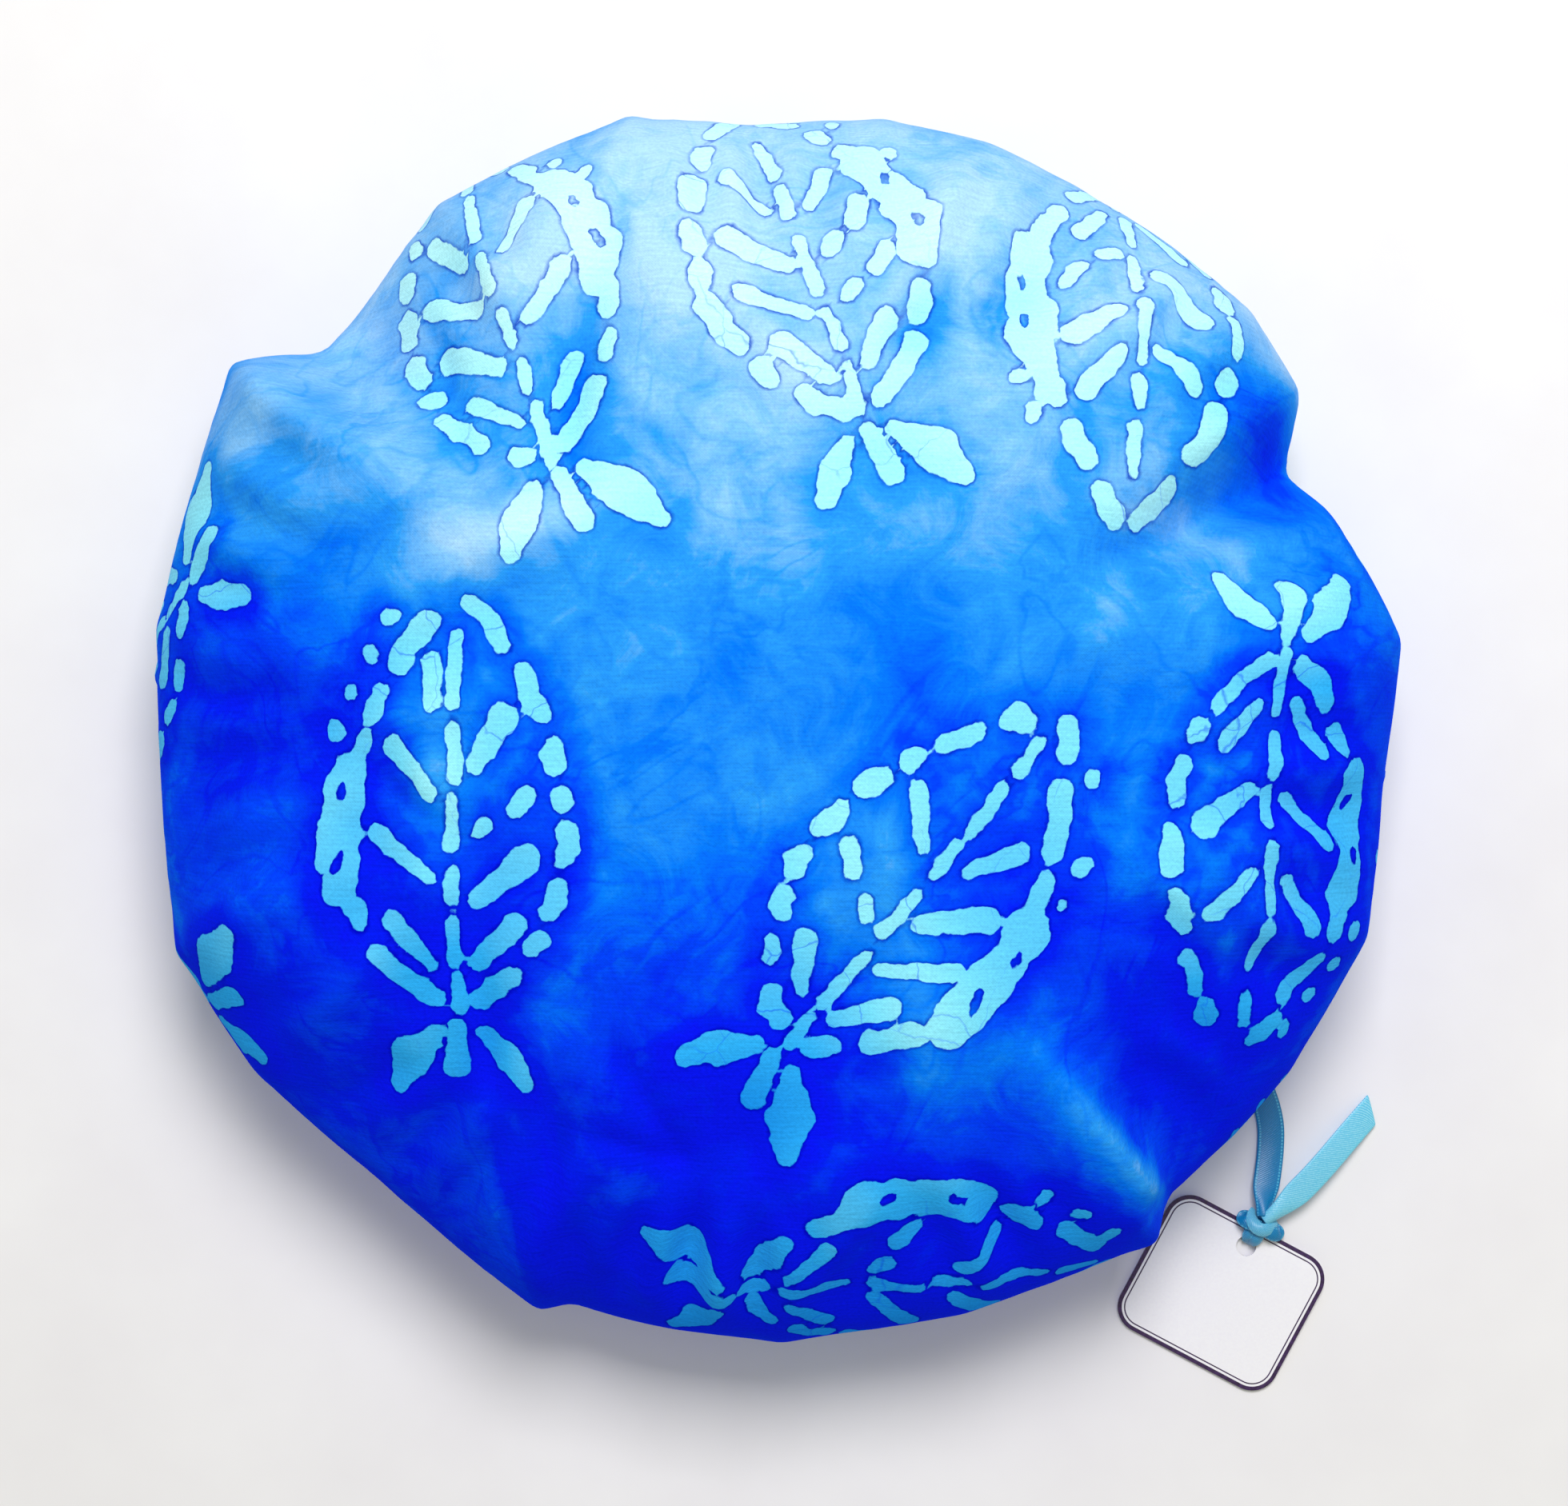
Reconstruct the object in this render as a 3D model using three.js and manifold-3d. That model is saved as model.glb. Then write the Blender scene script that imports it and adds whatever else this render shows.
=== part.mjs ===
// Shower cap of wax-resist dyed cotton, lying crown up, with its satin ribbon and swing tag.
// Millimetres, +Z up. The origin is on the table, under the middle of the cap's outline.
import * as THREE from 'three';
import { mergeVertices } from 'three/addons/utils/BufferGeometryUtils.js';
import Module from 'manifold-3d';

// Clear gap that every piece keeps to the one it touches.
const FIT = 0.3;

// Cap seen from above: degrees and radius at each corner, notch and flat of the puffed rim, and how
// far the cloth just below it swells out or is tucked in.
const RIM_OUTLINE = [
  [-19.5, 135.5, -4], [-4, 132.5, 4.5], [8, 136.5, -3.5], [15, 133, 3.5], [22, 129.5, -2.5],
  [26.5, 125, -5.5], [29.5, 130.5, -2.5], [32.5, 136, 2.5], [41.5, 137.5, 4], [51.5, 134.5, -4],
  [61, 134.5, 4], [70, 134.5, -4], [80, 134.5, 4], [92.5, 131, -5], [103.5, 137, 5], [113, 134.5, -4],
  [123, 135.5, 4.5], [132, 129.5, -3], [140.5, 129, -5], [143.5, 137.5, 1], [146, 143, 5],
  [157.5, 136.5, -4.5], [171, 136.5, 4.5], [185.5, 134, -5], [200.5, 139.5, 5], [213.5, 135, -4],
  [231.5, 131, 4], [248, 137, -2], [250.5, 133.5, -5.5], [260, 132, -2], [270.5, 133.5, 4],
  [287.5, 133, -4.5], [306.5, 139, 5], [310.5, 134.5, 0], [318, 133, -4.5], [326, 134, 3.5],
];
// The outline blurred over this many degrees is the crown's own, softer line.
const OUTLINE_BLUR = 14;
const CROWN_HEIGHT = 82;
const RIM_HEIGHT = 36;
// The crown is a superellipse: a larger DOME_POWER flattens its top, DOME_FALL rounds its shoulder.
const DOME_POWER = 2.4;
const DOME_FALL = 0.6;
// Rise of the shoulder for each mm that the rim stands out from the softer line.
const SHOULDER_RISE = 1.1;

// Folds that run in from the rim: degrees, depth in mm, spread in degrees, and where they fade
// out as a share of the way from the crown to the rim. FOLD_ROUND rounds the bottom of each.
const FOLDS = [
  { at: 26.5, depth: 14, spread: 5.6, fade: 0.42 },
  { at: 92.5, depth: 4, spread: 6.2, fade: 0.6 },
  { at: 137, depth: 13, spread: 5, fade: 0.72 },
  { at: 185, depth: 3, spread: 5.6, fade: 0.6 },
  { at: 250.5, depth: 9, spread: 3.1, fade: 0.66 },
  { at: 316, depth: 5, spread: 5.6, fade: 0.5 },
];
const FOLD_ROUND = 0.3;

// Gathers under the rim, where the cloth is drawn in to the elastic: mm up and down.
const GATHER_DEPTH = 1.5;

// Cloth layers.
const COVER_THICKNESS = 0.6;
const LINING_THICKNESS = 0.4;

// Casing: a folded tape round the mouth that holds the elastic and takes the cloth's raw edges.
const MOUTH_RADIUS = 70;
const CASING_WALL = 0.8;
const CASING_FOLD = 1.2;
const HEM_OVERLAP = 4;
const STITCH_ROOM = 1.2;
const ELASTIC_WIDTH = 8;
const ELASTIC_THICKNESS = 1.2;

// Satin ribbon, sewn into the casing's outer edge.
const RIBBON_WIDTH = 6.2;
const RIBBON_THICKNESS = 0.5;

// Ribbon from the casing to the knot, and from the knot to its cut end.
const RUN_ROUTE = [
  [69.5, -43.5, 1.35], [71.5, -44.7, 1.35], [74.6, -46.6, 1.25], [78.4, -49.2, 0.8],
  [83.5, -53, 0.45], [89.5, -57.8, 0.4], [95.6, -63.2, 0.4], [101.4, -69.2, 0.4],
  [106.4, -75.8, 0.4], [110.1, -82.6, 0.4], [111.9, -89.2, 0.45], [111.9, -95.2, 0.8],
  [111.2, -100.6, 1.6], [110.4, -104.8, 2.5], [109.8, -107.9, 3.1],
];
const TAIL_ROUTE = [
  [112.7, -109.7, 3.6], [115.6, -108.6, 4.3], [118.6, -106.9, 4.6], [121.6, -104.2, 4.6],
  [124.6, -100.5, 4.2], [127.8, -95.9, 3.4], [131.3, -91, 2.2], [134.9, -86.2, 0.8],
];

// Swing tag of white card, held by the ribbon through a punched hole.
const TAG_HOLE = [106.3, -117.1];
const TAG_TURN = -28;
const TAG_WIDTH = 39.7;
const TAG_HEIGHT = 34;
const TAG_THICKNESS = 0.6;
const TAG_CORNER = 6;
const TAG_HOLE_RADIUS = 2.3;
const TAG_HOLE_EDGE = 4.9;

// Knot: the ribbon's loop through the hole, bunched narrow, with slack for the card to turn in it,
// and the lump that closes it, a little further out.
const LOOP_WIDTH = 2.8;
const LOOP_SLACK = 1.3;
const TABLE_GAP = 0.1;
const KNOT_LENGTH = 5.6;
const KNOT_ACROSS = 8.4;
const KNOT_HEIGHT = 3.4;
const KNOT_OUT = 0.6;

// Levels and radii that follow from the sizes above.
const HEM_LEVEL = CASING_WALL + FIT + RIBBON_THICKNESS + FIT;
const LINING_OFFSET = COVER_THICKNESS + FIT;
const CASING_HEIGHT = HEM_LEVEL + LINING_OFFSET + LINING_THICKNESS + FIT + CASING_WALL;
const ELASTIC_INNER = MOUTH_RADIUS + CASING_WALL + FIT;
const HEM_RADIUS = ELASTIC_INNER + ELASTIC_WIDTH + STITCH_ROOM;
const CASING_RADIUS = HEM_RADIUS + HEM_OVERLAP;
const TAG_LEVEL = TABLE_GAP + RIBBON_THICKNESS + FIT;
const LOOP_TOP = TAG_LEVEL + TAG_THICKNESS + FIT + RIBBON_THICKNESS;
const LOOP_REACH = TAG_HOLE_EDGE + LOOP_SLACK;

// Fineness of the round and woven pieces.
const SPOKES_PER_CORNER = 2;
const BLUR_SAMPLES = 180;
const CROWN_SHARES = [0.5, 0.78, 0.94, 1];
const UNDER_ANGLES = [32, 64];
const RING_SEGMENTS = 72;
const RUN_STEPS = 40;
const TAIL_STEPS = 16;

const wasm = await Module();
wasm.setup();

const { degToRad, euclideanModulo, lerp, radToDeg, smoothstep } = THREE.MathUtils;

// Finish of one kind of cloth or card.
function material(color, roughness) {
  return new THREE.MeshStandardMaterial({ color, roughness, metalness: 0 });
}

const COVER_CLOTH = material(0x1f7cf0, 0.85);
const LINING_CLOTH = material(0xe8eef2, 0.6);
const CASING_CLOTH = material(0x1656d8, 0.85);
const ELASTIC_BRAID = material(0xf2f2ee, 0.8);
const SATIN = material(0x38b4d8, 0.35);
const CARD = material(0xf3f1f6, 0.7);

function mesh(name, geometry, finish) {
  const piece = new THREE.Mesh(geometry, finish);
  piece.name = name;
  return piece;
}

function polar(angle, radius, z) {
  return new THREE.Vector3(radius * Math.cos(angle), radius * Math.sin(angle), z);
}

// Degrees from one direction to another, the short way round.
function degreesApart(angle, degrees) {
  return euclideanModulo(radToDeg(angle) - degrees + 180, 360) - 180;
}

// Swell of the cloth below the rim at one spoke, eased from corner to corner.
function swellAt(index) {
  const corner = Math.floor(index / SPOKES_PER_CORNER);
  const next = (corner + 1) % RIM_OUTLINE.length;
  const share = (index % SPOKES_PER_CORNER) / SPOKES_PER_CORNER;
  return lerp(RIM_OUTLINE[corner][2], RIM_OUTLINE[next][2], smoothstep(share, 0, 1));
}

// Spokes of the cap: the direction, reach, softer reach and swell at each point of the rim, with
// the outline centred.
function rimSpokes() {
  const corners = RIM_OUTLINE.map(([degrees, radius]) => polar(degToRad(degrees), radius, 0));
  const outline = new THREE.CatmullRomCurve3(corners, true, 'centripetal');
  const points = outline.getPoints(corners.length * SPOKES_PER_CORNER).slice(0, -1);
  const centre = new THREE.Box3().setFromPoints(points).getCenter(new THREE.Vector3());
  const even = outline.getSpacedPoints(BLUR_SAMPLES).slice(1).map((point) => point.sub(centre));
  return points.map((point, index) => {
    point.sub(centre);
    const angle = Math.atan2(point.y, point.x);
    let sum = 0;
    let weights = 0;
    even.forEach((other) => {
      const away = degreesApart(Math.atan2(other.y, other.x), radToDeg(angle));
      const weight = Math.exp(-((away / OUTLINE_BLUR) ** 2) / 2);
      sum += weight * other.length();
      weights += weight;
    });
    return { angle, reach: point.length(), soft: sum / weights, swell: swellAt(index) };
  });
}

// Depth of all folds at one direction and share of the way out to the rim.
function foldDepth(angle, share) {
  return FOLDS.reduce((sum, fold) => {
    const away = degreesApart(angle, fold.at) / fold.spread;
    const across = Math.exp(FOLD_ROUND - Math.hypot(away, FOLD_ROUND));
    return sum + fold.depth * across * smoothstep(share, fold.fade, 1);
  }, 0);
}

// Crown: a dome that takes on the rim's corners on its way out, with its shoulder raised behind them.
function crownPoint(spoke, share) {
  const rise = (1 - share ** DOME_POWER) ** DOME_FALL;
  const behind = smoothstep(share, 0.55, 0.9) * (1 - smoothstep(share, 0.93, 1));
  const shoulder = SHOULDER_RISE * (spoke.reach - spoke.soft) * behind;
  const reach = lerp(spoke.soft, spoke.reach, smoothstep(share, 0.35, 1));
  const dome = RIM_HEIGHT + (CROWN_HEIGHT - RIM_HEIGHT) * rise;
  return polar(spoke.angle, reach * share, dome + shoulder - foldDepth(spoke.angle, share));
}

// Underside: a quarter ellipse from the rim in to the hem, swelled and tucked below the rim's
// corners and gathered up and down at each spoke.
function underPoint(spoke, index, degrees) {
  const turn = degToRad(degrees);
  const rim = RIM_HEIGHT - foldDepth(spoke.angle, 1);
  const hem = CASING_RADIUS + FIT;
  const swell = spoke.swell * (1 - smoothstep(degrees, 45, 83));
  const gather = (index % 2 ? 1 : -1) * GATHER_DEPTH * Math.sin(2 * turn);
  const radius = hem + (spoke.reach - hem + swell) * Math.cos(turn);
  const level = HEM_LEVEL + (rim - HEM_LEVEL) * (1 - Math.sin(turn)) - swell * Math.sin(turn);
  return polar(spoke.angle, radius, level + gather);
}

// Outer face of the cloth as rings from the crown out over the rim and back under to the hem.
function clothRings(spokes) {
  const crown = CROWN_SHARES.map((share) => spokes.map((spoke) => crownPoint(spoke, share)));
  const under = UNDER_ANGLES.map((degrees) =>
    spokes.map((spoke, index) => underPoint(spoke, index, degrees)));
  const hem = [CASING_RADIUS + FIT, HEM_RADIUS].map((radius) =>
    spokes.map((spoke) => polar(spoke.angle, radius, HEM_LEVEL)));
  return [...crown, ...under, ...hem];
}

// Triangles of one face of the cloth: a fan at the crown, then a band between each pair of rings.
function faceTriangles(ringCount, size, start) {
  const triangles = [];
  for (let i = 0; i < size; i += 1) {
    const next = (i + 1) % size;
    triangles.push(start, start + 1 + i, start + 1 + next);
    for (let ring = 0; ring + 1 < ringCount; ring += 1) {
      const near = start + 1 + ring * size;
      const far = near + size;
      triangles.push(near + i, far + i, far + next, near + i, far + next, near + next);
    }
  }
  return triangles;
}

// One layer of cloth between two depths under the outer face, closed along its raw edge.
function clothLayer(rings, fromDepth, toDepth) {
  const size = rings[0].length;
  const points = [new THREE.Vector3(0, 0, CROWN_HEIGHT), ...rings.flat()];
  const outside = faceTriangles(rings.length, size, 0);
  const face = new THREE.BufferGeometry().setFromPoints(points);
  face.setIndex(outside);
  face.computeVertexNormals();
  const normals = face.getAttribute('normal');
  const sunk = (depth) => points.map((point, i) =>
    new THREE.Vector3().fromBufferAttribute(normals, i).multiplyScalar(-depth).add(point));
  const inside = faceTriangles(rings.length, size, points.length).reverse();
  const edge = [];
  for (let i = 0; i < size; i += 1) {
    const a = points.length - size + i;
    const b = points.length - size + (i + 1) % size;
    edge.push(a, a + points.length, b + points.length, a, b + points.length, b);
  }
  const layer = new THREE.BufferGeometry().setFromPoints([...sunk(fromDepth), ...sunk(toDepth)]);
  layer.setIndex([...outside, ...inside, ...edge]);
  return layer;
}

// Ring turned about the cap's axis from a closed outline of radius and height.
function turnedRing(outline) {
  const profile = [...outline, outline[0]].map(([radius, z]) => new THREE.Vector2(radius, z));
  return new THREE.LatheGeometry(profile, RING_SEGMENTS).rotateX(Math.PI / 2);
}

// Folded tape: two flat lips, closed round the mouth and open outwards for the cloth.
function casingGeometry() {
  const channel = MOUTH_RADIUS + CASING_WALL;
  const upper = CASING_HEIGHT - CASING_WALL;
  return turnedRing([
    [MOUTH_RADIUS + CASING_FOLD, 0], [CASING_RADIUS, 0], [CASING_RADIUS, CASING_WALL],
    [channel, CASING_WALL], [channel, upper], [CASING_RADIUS, upper], [CASING_RADIUS, CASING_HEIGHT],
    [MOUTH_RADIUS + CASING_FOLD, CASING_HEIGHT], [MOUTH_RADIUS, CASING_HEIGHT - CASING_FOLD],
    [MOUTH_RADIUS, CASING_FOLD],
  ]);
}

function elasticGeometry() {
  const outer = ELASTIC_INNER + ELASTIC_WIDTH;
  const low = CASING_WALL + FIT;
  const high = low + ELASTIC_THICKNESS;
  return turnedRing([[ELASTIC_INNER, low], [outer, low], [outer, high], [ELASTIC_INNER, high]]);
}

// Flat ribbon laid along a route, its width level.
function ribbonGeometry(route, steps) {
  const halfWidth = RIBBON_WIDTH / 2;
  const halfThickness = RIBBON_THICKNESS / 2;
  const section = new THREE.Shape([
    new THREE.Vector2(-halfThickness, -halfWidth), new THREE.Vector2(halfThickness, -halfWidth),
    new THREE.Vector2(halfThickness, halfWidth), new THREE.Vector2(-halfThickness, halfWidth),
  ]);
  const path = new THREE.CatmullRomCurve3(route.map((point) => new THREE.Vector3(...point)));
  return new THREE.ExtrudeGeometry(section, { steps, extrudePath: path });
}

// Card with rounded corners, drawn about the middle of its hole, which is near its upper edge.
function tagGeometry() {
  const side = TAG_WIDTH / 2 - TAG_CORNER;
  const top = TAG_HOLE_EDGE - TAG_CORNER;
  const bottom = TAG_HOLE_EDGE - TAG_HEIGHT + TAG_CORNER;
  const quarter = Math.PI / 2;
  const card = new THREE.Shape();
  card.absarc(side, top, TAG_CORNER, 0, quarter);
  card.absarc(-side, top, TAG_CORNER, quarter, 2 * quarter);
  card.absarc(-side, bottom, TAG_CORNER, 2 * quarter, 3 * quarter);
  card.absarc(side, bottom, TAG_CORNER, 3 * quarter, 4 * quarter);
  card.closePath();
  card.holes.push(new THREE.Path().absarc(0, 0, TAG_HOLE_RADIUS, 0, 4 * quarter));
  return new THREE.ExtrudeGeometry(card, { depth: TAG_THICKNESS, bevelEnabled: false });
}

// Loop of ribbon through the tag's hole and round the card's edge, as an upright band.
function loopGeometry() {
  const inner = TAG_HOLE_RADIUS - FIT - LOOP_WIDTH / 2;
  const far = LOOP_REACH + RIBBON_THICKNESS;
  const band = new THREE.Shape([
    new THREE.Vector2(inner, TABLE_GAP), new THREE.Vector2(far, TABLE_GAP),
    new THREE.Vector2(far, LOOP_TOP), new THREE.Vector2(inner, LOOP_TOP),
  ]);
  const near = inner + RIBBON_THICKNESS;
  band.holes.push(new THREE.Path([
    new THREE.Vector2(near, TABLE_GAP + RIBBON_THICKNESS),
    new THREE.Vector2(near, LOOP_TOP - RIBBON_THICKNESS),
    new THREE.Vector2(LOOP_REACH, LOOP_TOP - RIBBON_THICKNESS),
    new THREE.Vector2(LOOP_REACH, TABLE_GAP + RIBBON_THICKNESS),
  ]));
  const across = new THREE.Vector3(1, 0, 0);
  const along = new THREE.Vector3(0, 1, 0);
  const up = new THREE.Vector3(0, 0, 1);
  return new THREE.ExtrudeGeometry(band, { depth: LOOP_WIDTH, bevelEnabled: false })
    .translate(0, 0, -LOOP_WIDTH / 2)
    .applyMatrix4(new THREE.Matrix4().makeBasis(along, up, across));
}

function solid(geometry) {
  const bare = geometry.clone();
  bare.deleteAttribute('normal');
  bare.deleteAttribute('uv');
  const merged = mergeVertices(bare);
  return new wasm.Manifold(new wasm.Mesh({
    numProp: 3,
    vertProperties: new Float32Array(merged.getAttribute('position').array),
    triVerts: new Uint32Array(merged.getIndex().array),
  }));
}

function geometryOf(body) {
  const { vertProperties, triVerts } = body.getMesh();
  const geometry = new THREE.BufferGeometry();
  geometry.setAttribute('position', new THREE.BufferAttribute(vertProperties, 3));
  geometry.setIndex(new THREE.BufferAttribute(triVerts, 1));
  return geometry;
}

// Knot: a drawn-up lump over the card's edge, one with the loop below it.
function knotGeometry() {
  const lump = new THREE.SphereGeometry(0.5, 14, 10)
    .scale(KNOT_ACROSS, KNOT_LENGTH, KNOT_HEIGHT)
    .translate(0, LOOP_REACH + KNOT_OUT, LOOP_TOP - RIBBON_THICKNESS + KNOT_HEIGHT / 2);
  return geometryOf(solid(lump).add(solid(loopGeometry())));
}

function cap() {
  const rings = clothRings(rimSpokes());
  const group = new THREE.Group();
  group.add(
    mesh('outer_cover', clothLayer(rings, 0, COVER_THICKNESS), COVER_CLOTH),
    mesh('lining', clothLayer(rings, LINING_OFFSET, LINING_OFFSET + LINING_THICKNESS), LINING_CLOTH),
    mesh('elastic_casing', casingGeometry(), CASING_CLOTH),
    mesh('elastic_band', elasticGeometry(), ELASTIC_BRAID),
  );
  return group;
}

// Tag and knot share a frame at the tag's hole, turned as the tag lies.
function tagAndKnot() {
  const group = new THREE.Group();
  const tag = mesh('swing_tag', tagGeometry(), CARD);
  tag.position.z = TAG_LEVEL;
  group.add(tag, mesh('ribbon_knot', knotGeometry(), SATIN));
  group.position.set(TAG_HOLE[0], TAG_HOLE[1], 0);
  group.rotation.z = degToRad(TAG_TURN);
  return group;
}

const showerCap = new THREE.Group();
showerCap.name = 'shower_cap';
showerCap.add(
  cap(),
  mesh('ribbon_run', ribbonGeometry(RUN_ROUTE, RUN_STEPS), SATIN),
  mesh('ribbon_tail', ribbonGeometry(TAIL_ROUTE, TAIL_STEPS), SATIN),
  tagAndKnot(),
);

export default showerCap;
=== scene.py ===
"""Looks of a gathered shower cap with its ribbon and swing tag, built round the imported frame."""

import logging
import math
from dataclasses import dataclass, field
from enum import Enum
from typing import Any, Sequence

import bmesh
import bpy
import numpy as np
from mathutils import Matrix, Vector


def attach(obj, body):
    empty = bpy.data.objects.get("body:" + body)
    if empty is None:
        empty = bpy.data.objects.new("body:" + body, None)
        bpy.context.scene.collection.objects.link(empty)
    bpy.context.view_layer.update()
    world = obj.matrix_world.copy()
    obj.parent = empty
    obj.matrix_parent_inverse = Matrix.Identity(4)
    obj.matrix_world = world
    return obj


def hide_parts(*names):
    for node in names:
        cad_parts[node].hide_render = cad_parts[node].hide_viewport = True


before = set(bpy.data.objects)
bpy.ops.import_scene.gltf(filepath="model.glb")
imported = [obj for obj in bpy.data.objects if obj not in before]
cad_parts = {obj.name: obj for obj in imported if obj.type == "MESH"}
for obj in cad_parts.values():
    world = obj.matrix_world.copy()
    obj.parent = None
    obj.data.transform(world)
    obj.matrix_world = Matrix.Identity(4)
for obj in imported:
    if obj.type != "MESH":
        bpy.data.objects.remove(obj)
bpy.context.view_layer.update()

LOG = logging.getLogger("shower_cap")
MM = 0.001
FULL_TURN = 2 * math.pi
# Directions round the cap at which ring values are kept, and their spacing in degrees.
TURN_STEP = 0.25
TURNS = np.radians(np.arange(0.0, 360.0, TURN_STEP))
# Distance between the bands of Blender's wave texture at a scale of 1.
WAVE_PITCH = 0.314

Point = tuple[float, float, float]


class Body(Enum):
    """Moving bodies of the frame."""

    CAP = "cap"
    RIBBON = "ribbon"
    TAG = "tag"


class Slot(Enum):
    """Material slots of the record."""

    COTTON = "batik_cotton"
    LINING = "lining_cloth"
    TAPE = "casing_tape"
    ELASTIC = "elastic_braid"
    SATIN = "satin_ribbon"
    CARD = "tag_card"


def linear(colour: str) -> tuple[float, float, float, float]:
    """Turns an sRGB hex colour into linear light.

    Args:
        colour: Six hex digits.

    Returns:
        Red, green, blue and alpha.
    """
    parts = [int(colour[i:i + 2], 16) / 255 for i in (0, 2, 4)]
    return (*[c / 12.92 if c <= 0.04045 else ((c + 0.055) / 1.055) ** 2.4 for c in parts], 1.0)


def add(tree: bpy.types.NodeTree, kind: str, inputs: dict[Any, Any] | None = None, out: str | int = 0,
        **settings: Any) -> bpy.types.NodeSocket:
    """Adds one node, sets it up and links it.

    Args:
        tree: Node tree of a material.
        kind: Node type after ShaderNode.
        inputs: Value or output socket for each input, by name or number.
        out: Output that is wanted, by name or number.
        **settings: Properties of the node.

    Returns:
        That output.
    """
    node = tree.nodes.new("ShaderNode" + kind)
    for name, value in settings.items():
        setattr(node, name, value)
    for key, value in (inputs or {}).items():
        if isinstance(value, bpy.types.NodeSocket):
            tree.links.new(value, node.inputs[key])
        else:
            node.inputs[key].default_value = value
    return node.outputs[out]


def ease(value: np.ndarray, low: float, high: float) -> np.ndarray:
    """Rises smoothly from 0 at low to 1 at high."""
    share = np.clip((value - low) / (high - low), 0.0, 1.0)
    return share * share * (3.0 - 2.0 * share)


def smooth_ring(values: np.ndarray, degrees: float) -> np.ndarray:
    """Blurs values that stand at TURNS round a ring, by a bell of that many degrees."""
    waves = np.fft.rfftfreq(len(values), d=TURN_STEP)
    return np.fft.irfft(np.fft.rfft(values) * np.exp(-2.0 * (np.pi * waves * degrees) ** 2), len(values))


def ring_noise(rng: np.random.Generator, low: int, high: int) -> np.ndarray:
    """Random waves round a ring.

    Args:
        rng: Seeded generator.
        low: Fewest waves round the ring.
        high: Most waves round the ring.

    Returns:
        Values at TURNS, of unit spread.
    """
    ring = sum(rng.normal() * np.cos(n * TURNS + rng.uniform(0, FULL_TURN)) for n in range(low, high + 1))
    return ring / ring.std()


def along_ring(ring: np.ndarray, angle: np.ndarray) -> np.ndarray:
    """Reads ring values at any angles."""
    return np.interp(np.mod(angle, FULL_TURN), TURNS, ring, period=FULL_TURN)


def smooth_route(points: Sequence[Sequence[float]], count: int) -> np.ndarray:
    """Evenly spaced points on a smooth curve.

    Args:
        points: Points that the curve passes through, in mm.
        count: Number of points wanted.

    Returns:
        Points in metres.
    """
    p = np.array(points, float) * MM
    ends = np.vstack([2 * p[0] - p[1], p, 2 * p[-1] - p[-2]])
    t = np.linspace(0, 1, 12, endpoint=False)[:, None]
    runs = []
    for a, b, c, d in zip(ends[:-3], ends[1:-2], ends[2:-1], ends[3:]):
        runs.append(0.5 * (2 * b + (c - a) * t + (2 * a - 5 * b + 4 * c - d) * t ** 2
                           + (3 * b - a - 3 * c + d) * t ** 3))
    curve = np.vstack([*runs, p[-1:]])
    length = np.concatenate([[0], np.cumsum(np.linalg.norm(np.diff(curve, axis=0), axis=1))])
    even = np.linspace(0, length[-1], count)
    return np.stack([np.interp(even, length, curve[:, i]) for i in range(3)], 1)


def finish_mesh(name: str, work: bmesh.types.BMesh, materials: Sequence[bpy.types.Material],
                recalculate: bool = True) -> bpy.types.Object:
    """Turns a bmesh into a smooth-shaded object at the origin.

    Args:
        name: Name of the piece.
        work: The bmesh, which is freed.
        materials: Materials by slot.
        recalculate: Whether closed shells get their normals turned outwards.

    Returns:
        The object, linked to the scene.
    """
    if recalculate:
        bmesh.ops.recalc_face_normals(work, faces=work.faces)
    for face in work.faces:
        face.smooth = True
    mesh = bpy.data.meshes.new(name)
    work.to_mesh(mesh)
    work.free()
    for material in materials:
        mesh.materials.append(material)
    piece = bpy.data.objects.new(name, mesh)
    bpy.context.scene.collection.objects.link(piece)
    return piece


def enlist(piece: bpy.types.Object, body: Body, slot: Slot, *nodes: str) -> bpy.types.Object:
    """Makes a piece ride on a body and stand for CAD nodes, and reports it.

    Args:
        piece: The finished piece.
        body: Body that it moves with.
        slot: Record slot of its finish; not used.
        *nodes: CAD nodes that it replaces.

    Returns:
        The same piece.
    """
    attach(piece, body.value)
    if nodes:
        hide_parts(*nodes)
    LOG.info("%s on %s: %d faces", piece.name, body.value, len(piece.data.polygons))
    return piece


@dataclass(frozen=True)
class Finish:
    """What every finish shares: its material, and the shader that takes its colour and relief."""

    name: str

    def start(self) -> bpy.types.Material:
        """Starts the material with the usual shader.

        Returns:
            The material, ready for nodes.
        """
        material = bpy.data.materials.new(self.name)
        material.use_nodes = True
        return material

    def close(self, material: bpy.types.Material, colour: bpy.types.NodeSocket, height: bpy.types.NodeSocket,
              relief: tuple[float, float], even: dict[str, Any]) -> bpy.types.Material:
        """Joins colour and relief to the shader and sets what is the same all over.

        Args:
            material: The started material.
            colour: Colour of the surface.
            height: Height of its relief.
            relief: Strength of the relief, and its depth in metres.
            even: Value of each even socket of the shader.

        Returns:
            The same material.
        """
        tree = material.node_tree
        shader = tree.nodes["Principled BSDF"]
        bump = add(tree, "Bump", {"Strength": relief[0], "Distance": relief[1], "Height": height})
        tree.links.new(colour, shader.inputs["Base Color"])
        tree.links.new(bump, shader.inputs["Normal"])
        for socket, value in even.items():
            shader.inputs[socket].default_value = value
        return material


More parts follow.
